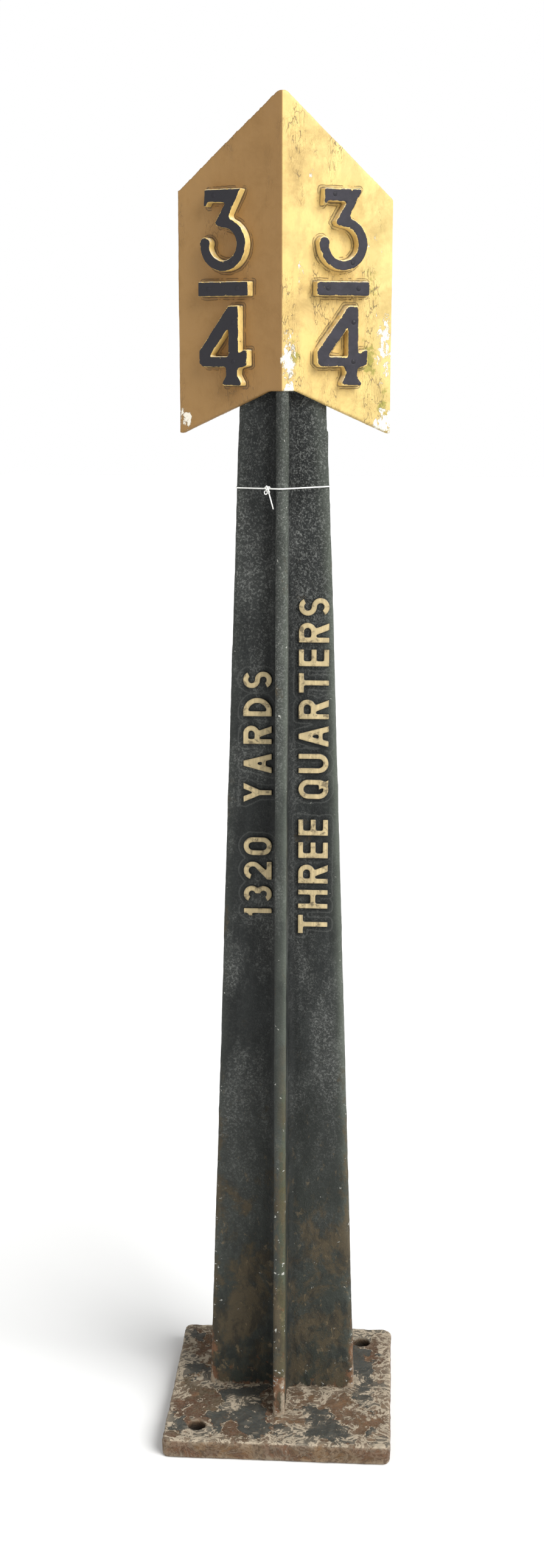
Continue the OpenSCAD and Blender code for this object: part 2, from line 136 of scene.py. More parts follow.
class PostShape(bpy.types.PropertyGroup):
    """Sizes of the castings that the boxes of the CAD model don't give."""

    wing_width: length("Wing width", "Width of a wing, from the ridge to its outer edge", 0.145)
    wing_angle: angle("Wing sweep", "Angle by which each wing is swept back", 24)
    wing_thickness: length("Wing thickness", "Thickness of the head's wings", 0.010)
    arch_rise: length("Arch rise", "Rise of the head's lower edge to the ridge", 0.054)
    arch_flat: length("Arch flat", "Level lower edge on each side of the ridge", 0.019)
    right_edge: length("Right edge", "Height of the right wing's outer edge", 0.283)
    left_edge: length("Left edge", "Height of the left wing's outer edge", 0.294)
    apex_blunt: length("Apex blunt", "Height that the blunt top takes off the ridge's point", 0.005)
    flange_thickness: length("Flange thickness", "Thickness of the shaft's flange", 0.018)
    flange_top: length("Flange top", "Width of the flange at the head", 0.112)
    rib_thickness: length("Rib thickness", "Thickness of the shaft's ribs", 0.016)
    rib_top: length("Rib reach", "Distance from the centre line to a rib's face at the head", 0.036)
    left_chamfer: length("Left chamfer", "Chamfer of the flange's left edges at the head", 0.006)
    right_chamfer: length("Right chamfer", "Chamfer of the flange's right edges at the head", 0.010)
    rib_chamfer: length("Rib chamfer", "Chamfer of the ribs' edges at the head", 0.007)
    flange_stop: length("Flange stop", "Height above the plate where its chamfers run out", 1.093)
    rib_stop: length("Rib stop", "Height above the plate where the ribs' chamfers run out", 0.960)
    shoulder_rise: length("Shoulder rise", "Height of the flange's shoulder above the arch", 0.044)
    shoulder_step: length("Shoulder step", "Width that each side of the shoulder loses", 0.020)
    web_depth: length("Web depth", "Depth of the web behind the wings at its top", 0.012)
    root_size: length("Root size", "Half the side of the bar that fills the roots", 0.0156)
    hole_inset: bpy.props.FloatVectorProperty(
        name="Hole inset", description="Distance of the holes from the plate's side and end",
        default=(0.043, 0.038), size=2, unit="LENGTH",
    )
    hole_radius: length("Hole radius", "Radius of the holding-down holes", 0.012)
    corner_radius: length("Corner radius", "Radius of the foot plate's corners", 0.009)
    rim_bevel: length("Rim bevel", "Bevel of the foot plate's upper and lower edges", 0.003)
    string_diameter: length("String", "Diameter of the string", 0.0018)
    string_twist: length("Twist", "Length in which the string's strands turn once", 0.0055)


class PostWear(bpy.types.PropertyGroup):
    """How fine the castings are meshed."""

    plate_grain: length("Plate mesh", "Spacing of the foot plate's mesh", 0.0022)
    shaft_grain: length("Shaft mesh", "Spacing of the shaft's mesh", 0.0031)
    head_grain: length("Head mesh", "Spacing of the head's mesh", 0.0021)
    numeral_grain: length("Numeral mesh", "Spacing of the numerals' mesh", 0.0009)
    letter_grain: length("Letter mesh", "Spacing of the legend's mesh", 0.0007)
    pin_grain: length("Pin mesh", "Spacing of the pins' mesh", 0.0006)


class PostColours(bpy.types.PropertyGroup):
    """Paints, rust and growth."""

    gold: colour("Gold paint", "Bright gold paint of the head", (0.70, 0.50, 0.175))
    yellow_gold: colour("Yellow gold", "Gold paint that has stayed bright", (0.84, 0.70, 0.31))
    bronze: colour("Bronze", "Brown clouds in the gold paint", (0.52, 0.36, 0.14))
    olive: colour("Olive", "Green film on the outer part of the right wing", (0.50, 0.40, 0.12))
    algae: colour("Algae", "Green growth on the head", (0.25, 0.235, 0.04))
    # This gold is also laid over the left wing and the back of the head as painted shade.
    dull_and_shaded_gold: colour("Dull gold", "Gold paint that has dulled", (0.255, 0.132, 0.042))
    grime: colour("Grime", "Dirt in cracks and corners", (0.055, 0.042, 0.028))
    cream: colour("Primer", "Primer under the gold paint", (0.86, 0.82, 0.70))
    iron: colour("Post paint", "Dark paint of the shaft", (0.013, 0.0145, 0.014))
    blister: colour("Blisters", "Chalky tops of the paint's wrinkles", (0.150, 0.155, 0.145))
    chip: colour("Chips", "Pale chips in the post paint", (0.45, 0.45, 0.41))
    black: colour("Numeral paint", "Paint on the faces of the numerals", (0.012, 0.011, 0.015))
    gilt: colour("Gilt", "Worn gilding on the legend", (0.53, 0.42, 0.225))
    rust: colour("Rust", "Rust of bare iron", (0.155, 0.078, 0.042))
    slate: colour("Slate paint", "Old paint left on the foot plate", (0.040, 0.046, 0.043))
    crust: colour("Crust", "Pale crust on the foot plate", (0.46, 0.385, 0.285))
    moss: colour("Moss", "Green growth low on the shaft", (0.060, 0.068, 0.026))
    earth: colour("Earth", "Brown mould on the shaft and the foot plate", (0.070, 0.053, 0.031))
    ochre: colour("Ochre", "Bright rust on the foot plate", (0.20, 0.112, 0.048))
    lichen: colour("Lichen", "Grey-green film along the edges", (0.115, 0.130, 0.105))
    string: colour("String", "White cotton string", (0.88, 0.88, 0.85))
    string_dirt: colour("String dirt", "Dirt in the string", (0.55, 0.52, 0.44))
    floor: colour("Floor", "Pale floor", (0.86, 0.86, 0.85))
    floor_shade: colour("Floor clouds", "Faint clouds on the floor", (0.84, 0.84, 0.84))


class PostStage(bpy.types.PropertyGroup):
    """Camera and light."""

    eye: bpy.props.FloatVectorProperty(
        name="Eye", description="Place of the camera", default=(0.1373, -2.3378, 1.4417),
        subtype="TRANSLATION", unit="LENGTH",
    )
    tilt: angle("Tilt", "Angle by which the camera looks down", 13.163)
    turn: angle("Turn", "Angle by which the camera is turned to the left", 3.716)
    lens: bpy.props.FloatProperty(
        name="Lens", description="Focal length in millimetres on a 36 mm film", default=42.31
    )
    key_power: bpy.props.FloatProperty(
        name="Key light", description="Strength of the key light", default=4.2
    )
    key_side: angle("Key side", "Angle of the key light to the right of the front", 52)
    key_height: angle("Key height", "Angle of the key light above the ground", 38)
    fill_power: bpy.props.FloatProperty(
        name="Fill light", description="Strength of the fill light", default=0.5
    )
    fill_side: angle("Fill side", "Angle of the fill light to the right of the front", -60)
    fill_height: angle("Fill height", "Angle of the fill light above the ground", 20)
    softness: angle("Softness", "Breadth of the two lights", 45)
    sky: share("Sky", "Strength of the even white light all round", 0.5)


# ---------------------------------------------------------------- modelling tools


def settings():
    return bpy.context.scene.distance_post


def pick(obj):
    """Selects only this object and makes it the active one."""
    for other in bpy.context.view_layer.objects:
        other.select_set(False)
    obj.select_set(True)
    bpy.context.view_layer.objects.active = obj


def edit(obj, mode="FACE"):
    pick(obj)
    bpy.ops.object.mode_set(mode="EDIT")
    bpy.ops.mesh.select_mode(type=mode)


def done():
    bpy.ops.object.mode_set(mode="OBJECT")


def open_shape(obj):
    """The mesh that is open in edit mode, with nothing selected."""
    shape = bmesh.from_edit_mesh(obj.data)
    for part in (*shape.verts, *shape.edges, *shape.faces):
        part.select = False
    return shape


def choose(obj, test):
    """In edit mode, selects the points whose place passes a test."""
    shape = open_shape(obj)
    for vert in shape.verts:
        if test(vert.co):
            vert.select_set(True)
    shape.select_flush_mode()
    bmesh.update_edit_mesh(obj.data)


def choose_edges(obj, test):
    """In edit mode, selects the edges whose middle and direction pass a test."""
    shape = open_shape(obj)
    for edge in shape.edges:
        a, b = (vert.co for vert in edge.verts)
        if test((a + b) / 2, (b - a).normalized()):
            edge.select_set(True)
    bmesh.update_edit_mesh(obj.data)


def block(name, low, high):
    """A box between two corners, made from a cube and left at the origin."""
    low, high = Vector(low), Vector(high)
    bpy.ops.mesh.primitive_cube_add(size=1, location=(low + high) / 2)
    made = bpy.context.active_object
    made.name = name
    made.scale = high - low
    settle(made)
    return made


def settle(obj):
    """Puts the object's place, turn and scale into its mesh."""
    pick(obj)
    bpy.ops.object.transform_apply(location=True, rotation=True, scale=True)


def cut(obj, point, normal, off=True):
    """Cuts off what lies on the side that the normal points to, or only scores a line of edges."""
    edit(obj)
    bpy.ops.mesh.select_all(action="SELECT")
    bpy.ops.mesh.bisect(plane_co=point, plane_no=normal, use_fill=off, clear_outer=off)
    done()


def shift(obj, test, offset):
    """Moves the points whose place passes a test."""
    edit(obj, "VERT")
    choose(obj, test)
    bpy.ops.transform.translate(value=offset)
    done()


def turn_about(obj, pivot, radians):
    """Turns the mesh anticlockwise about an upright axis."""
    edit(obj)
    bpy.ops.mesh.select_all(action="SELECT")
    # with no window the operator turns clockwise
    bpy.ops.transform.rotate(value=-radians, orient_axis="Z", center_override=pivot)
    done()


def apply(obj, kind, label, **values):
    pick(obj)
    made = obj.modifiers.new(label, kind)
    for key, value in values.items():
        setattr(made, key, value)
    bpy.ops.object.modifier_apply(modifier=made.name)


def fuse(name, parts):
    """Joins overlapping castings into one object."""
    pick(parts[0])
    for part in parts:
        part.select_set(True)
    bpy.ops.object.join()
    parts[0].name = name
    parts[0].data.name = name
    return parts[0]


def even_mesh(obj, spacing, softening):
    """Gives a casting an even mesh with softly worn edges."""
    apply(obj, "REMESH", "Even mesh", mode="VOXEL", voxel_size=spacing, adaptivity=0)
    apply(obj, "SMOOTH", "Worn edges", factor=0.5, iterations=softening)


def roughen(obj, size, depth, octaves, group=""):
    """Presses an uneven pattern into the surface. Size is that of its lumps."""
    pattern = bpy.data.textures.new(f"{obj.name} clouds", "CLOUDS")
    pattern.noise_scale = size
    pattern.noise_depth = octaves
    apply(
        obj, "DISPLACE", "Cast skin", texture=pattern, texture_coords="LOCAL",
        strength=depth, mid_level=0.5, vertex_group=group,
    )


def mesh_arrays(obj):
    mesh = obj.data
    co = np.empty(len(mesh.vertices) * 3)
    mesh.vertices.foreach_get("co", co)
    normals = np.empty(len(mesh.vertices) * 3, np.float32)
    mesh.vertex_normals.foreach_get("vector", normals)
    return co.reshape(-1, 3), normals.reshape(-1, 3)


def keep_value(obj, name, values):
    """Stores one number for each point, for a material to read."""
    made = obj.data.attributes.new(name, "FLOAT", "POINT")
    made.data.foreach_set("value", np.asarray(values, np.float32))


def mark_edges(obj, rounds, gain):
    """Stores how far each point stands out, as edge, and how far it lies in a corner, as hollow."""
    co, normals = mesh_arrays(obj)
    ends = np.empty(len(obj.data.edges) * 2, int)
    obj.data.edges.foreach_get("vertices", ends)
    a, b = ends.reshape(-1, 2).T
    total = np.maximum(np.bincount(a, minlength=len(co)) + np.bincount(b, minlength=len(co)), 1)

    def around(values):
        summed = np.bincount(a, values[b], len(co)) + np.bincount(b, values[a], len(co))
        return summed / total

    smooth = co.copy()
    for _ in range(rounds):
        smooth = np.stack([around(smooth[:, axis]) for axis in range(3)], 1)
    bulge = ((co - smooth) * normals).sum(1) * gain
    for _ in range(3):
        bulge = around(bulge)
    keep_value(obj, "edge", np.clip(bulge, 0, 1))
    keep_value(obj, "hollow", np.clip(-bulge, 0, 1))


def copy_of(node, name):
    """A clean copy of a CAD node: its loose triangles are merged and its flat faces made whole."""
    source = frame["nodes"][node]
    source.hide_set(False)
    pick(source)
    bpy.ops.object.duplicate(linked=False)
    made = bpy.context.active_object
    made.name = name
    made.data.name = name
    made.parent = None
    for key in list(made.keys()):
        del made[key]
    made.data.materials.clear()
    edit(made, "VERT")
    bpy.ops.mesh.select_all(action="SELECT")
    bpy.ops.mesh.remove_doubles(threshold=MERGE_GAP)
    bpy.ops.mesh.normals_make_consistent(inside=False)
    bpy.ops.mesh.dissolve_limited(angle_limit=FLAT_WITHIN)
    done()
    return made


def finish_piece(obj, material, slot, *nodes):
    obj.data.materials.clear()
    obj.data.materials.append(material)
    pick(obj)
    bpy.ops.object.shade_smooth()
    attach(obj, "root")
    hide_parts(*nodes)


# ---------------------------------------------------------------- shader tools


class Signal:
    """An output of a shader node, which can be added, multiplied and put through a smooth step."""

    def __init__(self, socket):
        self.socket = socket
        self.tree = socket.id_data

    def maths(self, operation, a, b=0.0, clamp=False):
        made = add(self.tree, "ShaderNodeMath", {0: a, 1: b}, operation=operation, use_clamp=clamp)
        return Signal(made.outputs[0])

    def __add__(self, other):
        return self.maths("ADD", self, other)

    def __radd__(self, other):
        return self.maths("ADD", other, self)

    def __sub__(self, other):
        return self.maths("SUBTRACT", self, other)

    def __mul__(self, other):
        return self.maths("MULTIPLY", self, other)

    def __abs__(self):
        return self.maths("ABSOLUTE", self)

    def rest(self):
        """What is left of 1."""
        return self.maths("SUBTRACT", 1.0, self, clamp=True)

    def span(self, low, high, to_low=0.0, to_high=1.0):
        """A smooth step from to_low, where the signal is low, to to_high, where it is high."""
        made = add(
            self.tree, "ShaderNodeMapRange",
            {"Value": self, "From Min": low, "From Max": high, "To Min": to_low, "To Max": to_high},
            interpolation_type="SMOOTHSTEP",
        )
        return Signal(made.outputs["Result"])


def feed(socket, value):
    """Links a signal to a socket, or sets the socket to a plain value."""
    if isinstance(value, Signal):
        value.tree.links.new(value.socket, socket)
    else:
        socket.default_value = value


def add(tree, kind, inputs=None, **values):
    """Adds a node, sets its values, and links or fills its inputs."""
    made = tree.nodes.new(kind)
    for key, value in values.items():
        setattr(made, key, value)
    for key, value in (inputs or {}).items():
        feed(made.inputs[key], value)
    return made


def vector_maths(tree, operation, a, b=(0, 0, 0)):
    made = add(tree, "ShaderNodeVectorMath", {0: a, 1: b}, operation=operation)
    return Signal(made.outputs["Value" if operation == "LENGTH" else "Vector"])


def texture(tree, place, scale, detail, **inputs):
    inputs = {"Vector": place, "Scale": scale, "Detail": detail, **inputs}
    return add(tree, "ShaderNodeTexNoise", inputs).outputs


def rgba(colour_value, gain=1.0):
    return (*(channel * gain for channel in colour_value), 1.0)


def new_group(name, inputs, output_names):
    """An empty shader node group with named sockets, all of them numbers but for vector inputs."""
    tree = bpy.data.node_groups.new(name, "ShaderNodeTree")
    for label, value in inputs.items():
        kind = "NodeSocketVector" if isinstance(value, tuple) else "NodeSocketFloat"
        made = tree.interface.new_socket(label, in_out="INPUT", socket_type=kind)
        made.default_value = value
    for label in output_names:
        tree.interface.new_socket(label, in_out="OUTPUT", socket_type="NodeSocketFloat")
    given = {socket.name: Signal(socket) for socket in tree.nodes.new("NodeGroupInput").outputs[:-1]}
    return tree, given, tree.nodes.new("NodeGroupOutput").inputs


def blotch_group():
    """Soft or crisp patches of noise, more of them where Bias is high."""
    inputs = {
        "Vector": (0, 0, 0), "Scale": 10.0, "Detail": 6.0, "Roughness": 0.6, "Warp": 0.3, "Level": 0.5,
        "Softness": 0.05, "Bias": 0.0,
    }
    tree, given, out = new_group("Blotches", inputs, ("Mask", "Noise"))
    value = Signal(texture(
        tree, given["Vector"], given["Scale"], given["Detail"], Roughness=given["Roughness"],
        Distortion=given["Warp"],
    )[0])
    level = given["Level"] - given["Bias"]
    feed(out["Mask"], value.span(level - given["Softness"], level + given["Softness"]))
    feed(out["Noise"], value)
    return tree


def crackle_group():
    """Thin broken cracks that run along the borders of warped cells."""
    inputs = {"Vector": (0, 0, 0), "Scale": 60.0, "Width": 0.04, "Gaps": 0.5}
    tree, given, out = new_group("Crackle", inputs, ("Cracks",))
    warp = Signal(texture(tree, given["Vector"], 55.0, 4.0)["Color"])
    moved = vector_maths(
        tree, "ADD", given["Vector"], vector_maths(tree, "MULTIPLY", warp, (0.016, 0.016, 0.016))
    )
    cells = add(
        tree, "ShaderNodeTexVoronoi", {"Vector": moved, "Scale": given["Scale"]}, feature="DISTANCE_TO_EDGE"
    )
    line = Signal(cells.outputs["Distance"]).span(0.0, given["Width"], 1.0, 0.0)
    patches = Signal(texture(tree, given["Vector"], 28.0, 3.0)[0])
    feed(out["Cracks"], line * patches.span(given["Gaps"] - 0.04, given["Gaps"] + 0.04))
    return tree


def near_group():
    """A soft mask that is 1 at a place and fades to 0 at the given distance along each axis."""
    inputs = {"Vector": (0, 0, 0), "Place": (0, 0, 0), "Reach": (1, 1, 1)}
    tree, given, out = new_group("Near", inputs, ("Mask",))
    gap = vector_maths(tree, "SUBTRACT", given["Vector"], given["Place"])
    size = vector_maths(tree, "LENGTH", vector_maths(tree, "DIVIDE", gap, given["Reach"]))
    feed(out["Mask"], size.span(0.0, 1.0, 1.0, 0.0))
    return tree


def wrinkle_group():
    """Winding ridges, like wrinkled paint or curling flakes."""
    inputs = {"Vector": (0, 0, 0), "Scale": 150.0, "Width": 0.05, "Detail": 1.5, "Warp": 1.2}
    tree, given, out = new_group("Wrinkles", inputs, ("Ridges",))
    value = Signal(texture(
        tree, given["Vector"], given["Scale"], given["Detail"], Roughness=0.62, Distortion=given["Warp"]
    )[0])
    feed(out["Ridges"], abs(value - 0.5).span(0.0, given["Width"], 1.0, 0.0))
    return tree


GROUP_MAKERS = {
    "Blotches": blotch_group,
    "Crackle": crackle_group,
    "Near": near_group,
    "Wrinkles": wrinkle_group,
}


class Finish:
    """A material that is being made, with its Principled shader and its Object coordinates."""

    def __init__(self, name):
        self.material = bpy.data.materials.new(name)
        self.material.use_nodes = True
        self.tree = self.material.node_tree
        self.tree.nodes.clear()
        self.shader = self.tree.nodes.new("ShaderNodeBsdfPrincipled")
        output = self.tree.nodes.new("ShaderNodeOutputMaterial")
        self.tree.links.new(self.shader.outputs[0], output.inputs["Surface"])
        self.place = Signal(self.tree.nodes.new("ShaderNodeTexCoord").outputs["Object"])
        split = add(self.tree, "ShaderNodeSeparateXYZ", {0: self.place})
        self.x, _, self.z = (Signal(socket) for socket in split.outputs)

    def mark(self, *names):
        """Numbers that the piece's mesh stores for each point."""
        made = [add(self.tree, "ShaderNodeAttribute", attribute_name=name) for name in names]
        return [Signal(node.outputs["Fac"]) for node in made]

    def stretched(self, *scale):
        return Signal(add(self.tree, "ShaderNodeMapping", {"Vector": self.place, "Scale": scale}).outputs[0])

    def group(self, name, **inputs):
        """Places a shared node group, and makes it at its first use. Its first output is the signal."""
        made = self.tree.nodes.new("ShaderNodeGroup")
        made.node_tree = bpy.data.node_groups.get(name) or GROUP_MAKERS[name]()
        for key, value in {"Vector": self.place, **inputs}.items():
            feed(made.inputs[key], value)
        signal = Signal(made.outputs[0])
        signal.noise = Signal(made.outputs[-1])
        return signal

    def blotches(self, scale, detail, level, softness, rough=0.6, bias=0.0, squash=1.0, **inputs):
        """Patches above a level of noise. A squash under 1 draws them out upright."""
        if squash != 1.0:
            inputs["Vector"] = self.stretched(1, 1, squash)
        return self.group(
            "Blotches", Scale=scale, Detail=detail, Level=level, Softness=softness, Roughness=rough,
            Bias=bias, **inputs,
        )

    def spots(self, table):
        """The strongest of several soft masks on the wings."""
        total = 0.0
        for side, along, height, across, up, strength in table:
            place = wing_place(side, along, height)
            near = self.group("Near", Place=place, Reach=(across, 0.03, up)) * strength
            total = near.maths("MAXIMUM", total, near)
        return total

    def layered(self, base, *layers):
        """Lays colours over a base: each layer is a mask and a colour."""
        for mask, top in layers:
            mixed = add(self.tree, "ShaderNodeMix", {0: mask, 6: base, 7: top}, data_type="RGBA")
            base = Signal(mixed.outputs[2])
        return base

    def finished(self, colour, roughness, height=None, depth=0.001, relief=0.8, shine=0.5):
        """Sets the shader and gives back the material. Height is raised by depth, at a strength of relief."""
        values = {
            "Base Color": colour, "Roughness": roughness, "Metallic": 0.0, "Specular IOR Level": shine,
        }
        if height is not None:
            bump = add(
                self.tree, "ShaderNodeBump", {"Height": height, "Distance": depth, "Strength": relief}
            )
            values["Normal"] = Signal(bump.outputs[0])
        for key, value in values.items():
            feed(self.shader.inputs[key], value)
        return self.material


# ---------------------------------------------------------------- materials


def wing_place(side, along, height):
    """A place on the front of a wing, from its distance to the ridge and its height."""
    sweep = settings().shape.wing_angle
    return (side * along * math.cos(sweep), RIDGE_Y + along * math.sin(sweep), height)


# Where the gold has come off the primer and where it is green: wing, distance from the ridge,
# height, half size across and up, and strength
BARED = (
    (RIGHT, 0.009, 1.430, 0.022, 0.085, 1.0),
    (RIGHT, 0.133, 1.450, 0.024, 0.110, 0.80),
    (RIGHT, 0.138, 1.360, 0.030, 0.030, 1.0),
    (LEFT, 0.137, 1.362, 0.020, 0.026, 1.0),
    (RIGHT, 0.024, 1.540, 0.014, 0.085, 0.64),
    (RIGHT, 0.036, 1.650, 0.010, 0.035, 0.72),
    (RIGHT, 0.118, 1.560, 0.026, 0.070, 0.58),
    (LEFT, 0.004, 1.740, 0.010, 0.008, 0.3),
)
GREENED = (
    (RIGHT, 0.114, 1.435, 0.036, 0.060, 1.0),
    (RIGHT, 0.135, 1.375, 0.022, 0.050, 0.9),
    (RIGHT, 0.016, 1.435, 0.018, 0.065, 0.9),
    (RIGHT, 0.120, 1.520, 0.028, 0.060, 0.75),
)


def gold_material():
    """Old gold paint over a pale primer: smooth on the left wing, which is painted darker as painted shade,
    and crackled on the right one.
    """
    tone = settings().colours
    paint = Finish("OldGoldPaint")
    edge, near, back, stain = paint.mark("edge", "by_numeral", "back", "by_pin")
    # lit is the front of the right wing, which faces the key light; the rest, the left wing and the back, is
    # painted darker below as painted shade.
    lit = paint.x.span(-0.001, 0.001) * back.rest()
    shaded_side = lit.rest()
    toward_ridge = paint.x.span(-0.13, 0.0)
    by_edge = paint.x.span(0.03, 0.13)
    yellowed = (paint.x + paint.z * 0.25).span(0.39, 0.53)
    tones = paint.blotches(9, detail=5, level=0.5, softness=0.22)
    brush = paint.blotches(
        1, detail=4, level=0.5, softness=0.3, Warp=0.0, Vector=paint.stretched(210, 210, 9)
    )
    upright = paint.stretched(1, 1, 0.3)
    broken = paint.blotches(95, detail=6, level=0.505, softness=0.02)
    cracks = paint.group("Crackle", Vector=upright, Scale=215.0, Width=0.07, Gaps=0.56) * broken
    hairs = paint.group("Crackle", Vector=upright, Scale=390.0, Width=0.08, Gaps=0.53)
    loose = paint.spots(BARED) * 0.36 + edge * 0.09 + lit * near * 0.07 + lit * by_edge * 0.02
    chips = paint.blotches(120, detail=9, level=0.79, softness=0.02, rough=0.74, bias=loose, squash=0.6)
    soot = paint.blotches(24, detail=9, level=0.56, softness=0.12, rough=0.72)
    cloudy = paint.blotches(38, detail=9, level=0.5, softness=0.07, rough=0.74, squash=0.5)
    moss = paint.blotches(
        60, detail=8, level=0.83, softness=0.07, rough=0.72, bias=paint.spots(GREENED) * 0.38
    )
    ragged = paint.blotches(65, detail=7, level=0.5, softness=0.1)
    stray = ragged.noise - 0.5
    rim = abs(near - 0.66 + stray * 0.5).span(0.0, 0.11, 1.0, 0.0) * ragged.noise.span(0.42, 0.5)
    # Darker at the foot of each numeral, where it meets the wing.
    dark_at_numeral_foot = (near + stray * 0.7).span(0.72, 0.95)
    base = paint.layered(
        rgba(tone.gold),
        (tones * 0.45, rgba(tone.gold, 0.8)),
        (brush * 0.25, rgba(tone.gold, 1.25)),
        (lit * yellowed * 0.38, rgba(tone.yellow_gold)),
        (lit * cloudy * 0.4, rgba(tone.bronze)),
        # Painted shade: the left wing and the back are painted a darker gold, and darker still towards the
        # ridge on the left wing.
        (shaded_side * 0.9, rgba(tone.dull_and_shaded_gold)),
        (shaded_side * toward_ridge * 0.3, rgba(tone.dull_and_shaded_gold, 0.75)),
        (soot * (0.22 + lit * 0.12), rgba(tone.dull_and_shaded_gold, 0.6)),
        (hairs * 0.22 * (0.35 + lit * 0.65), rgba(tone.dull_and_shaded_gold, 0.5)),
        (lit * by_edge * soot.noise * 0.35, rgba(tone.olive)),
        (moss * 0.85, rgba(tone.algae)),
        (chips * 0.92, rgba(tone.cream)),
        (cracks * (0.25 + lit * 0.5), rgba(tone.grime, 1.8)),
        (dark_at_numeral_foot * 0.75, rgba(tone.grime)),
        (rim * 0.7, rgba(tone.grime)),
        (back * soot.noise * 0.55, rgba(tone.grime, 1.4)),
        (back * (stain + stray * 0.9).span(0.3, 0.8) * 0.8, rgba(tone.rust)),
    )
    height = (
        cracks * -0.5 + hairs * -0.15 + chips * -0.6 + brush.noise * 0.3 + soot.noise * 0.8 + rim * -0.6
    )
    return paint.finished(base, soot.noise.span(0.3, 0.7, 0.46, 0.72), height, 0.0009, shine=0.35)


def black_material():
    """Thick dark paint: wrinkled and chalky high up, mossy and rusting towards the foot, with painted shade
    in its hollows and a painted highlight on the edges of its right half.
    """
    tone = settings().colours
    paint = Finish("WrinkledBlackPaint")
    edge, near, hollow = paint.mark("edge", "by_letter", "hollow")
    high = paint.z.span(0.95, 1.25)
    low = paint.z.span(0.06, 0.62, 1.0, 0.0)
    foot = paint.z.span(0.03, 0.17, 1.0, 0.0)
    right = paint.x.span(-0.01, 0.01)
    worms = paint.group("Wrinkles", Scale=135.0, Width=0.045)
    fine = paint.blotches(400, detail=4, level=0.57, softness=0.06)
    runs = paint.blotches(34, detail=8, level=0.5, softness=0.14, rough=0.7, squash=0.3)
    patch = paint.blotches(11, detail=7, level=0.54, softness=0.08, rough=0.65, squash=0.45)
    earth = paint.blotches(
        15, detail=10, level=0.66, softness=0.05, rough=0.74, bias=low * 0.16 + edge * 0.06, squash=0.7
    )
    mottle = paint.blotches(52, detail=10, level=0.53, softness=0.06, rough=0.72, squash=0.5)
    flecks = paint.blotches(105, detail=8, level=0.62, softness=0.03, rough=0.7, squash=0.6)
    rusted = paint.blotches(
        46, detail=9, level=0.83, softness=0.06, rough=0.74, bias=foot * 0.20 + edge * low * 0.22
    )
    nose = paint.group("Near", Place=(0.006, -0.072, 0.32), Reach=(0.014, 0.03, 0.42))
    mossy = paint.blotches(
        40, detail=8, level=0.84, softness=0.12, rough=0.7, bias=nose * 0.42 + low * 0.14, squash=0.22
    )
    pale = paint.blotches(
        70, detail=8, level=0.90, softness=0.05, rough=0.7, bias=foot * (0.2 + edge * 0.3), squash=0.5
    )
    chips = paint.blotches(150, detail=5, level=0.755, softness=0.012, bias=edge * 0.09 + low * 0.05)
    halo = abs(near - 0.45 + (runs.noise - 0.5) * 0.8).span(0.0, 0.14, 1.0, 0.0)
    chalk = (0.06 + patch * 0.45 + high * (0.18 + right * 0.35)) * paint.z.span(0.25, 0.6, 0.35, 1.0)
    base = paint.layered(
        rgba(tone.iron),
        (runs * 0.5, rgba(tone.iron, 2.3)),
        (patch * 0.18, rgba(tone.blister, 0.8)),
        (low * 0.7, rgba(tone.lichen, 0.36)),
        (worms * chalk, rgba(tone.blister)),
        (fine * chalk * 0.8, rgba(tone.blister, 1.6)),
        # Grey-green film along the edges, and a painted highlight: the edges of the right half, towards the
        # key light, are painted much paler, less so low down.
        (edge * (0.10 + right * (0.55 + low * -0.4)), rgba(tone.lichen)),
        (earth * 0.75, rgba(tone.earth, 1.25)),
        (mottle * low * 0.6, rgba(tone.iron, 1.3)),
        (flecks * low * 0.7, rgba(tone.earth, 2.4)),
        (mossy * 0.34, rgba(tone.moss, 1.1)),
        (nose * mottle * 0.5, rgba(tone.earth, 1.5)),
        (halo * 0.28, rgba(tone.blister, 0.9)),
        (rusted * 0.8, rgba(tone.rust, 1.1)),
        (pale * 0.75, rgba(tone.crust, 0.8)),
        (chips * 0.9, rgba(tone.chip)),
        # Painted shade: hollows, such as the roots of the ribs, are painted darker.
        (hollow * 0.85, rgba(tone.iron, 0.4)),
    )
    height = (
        worms * (0.2 + high * 0.6) + fine.noise * 0.5 + runs.noise * 0.8 + earth * -0.3 + rusted * -0.5
        + pale * 0.4 + chips * -0.5
    )
    roughness = (patch.noise + earth * 0.4).span(0.35, 0.9, 0.42, 0.85)
    return paint.finished(base, roughness, height, 0.0012, 0.9, shine=0.18)


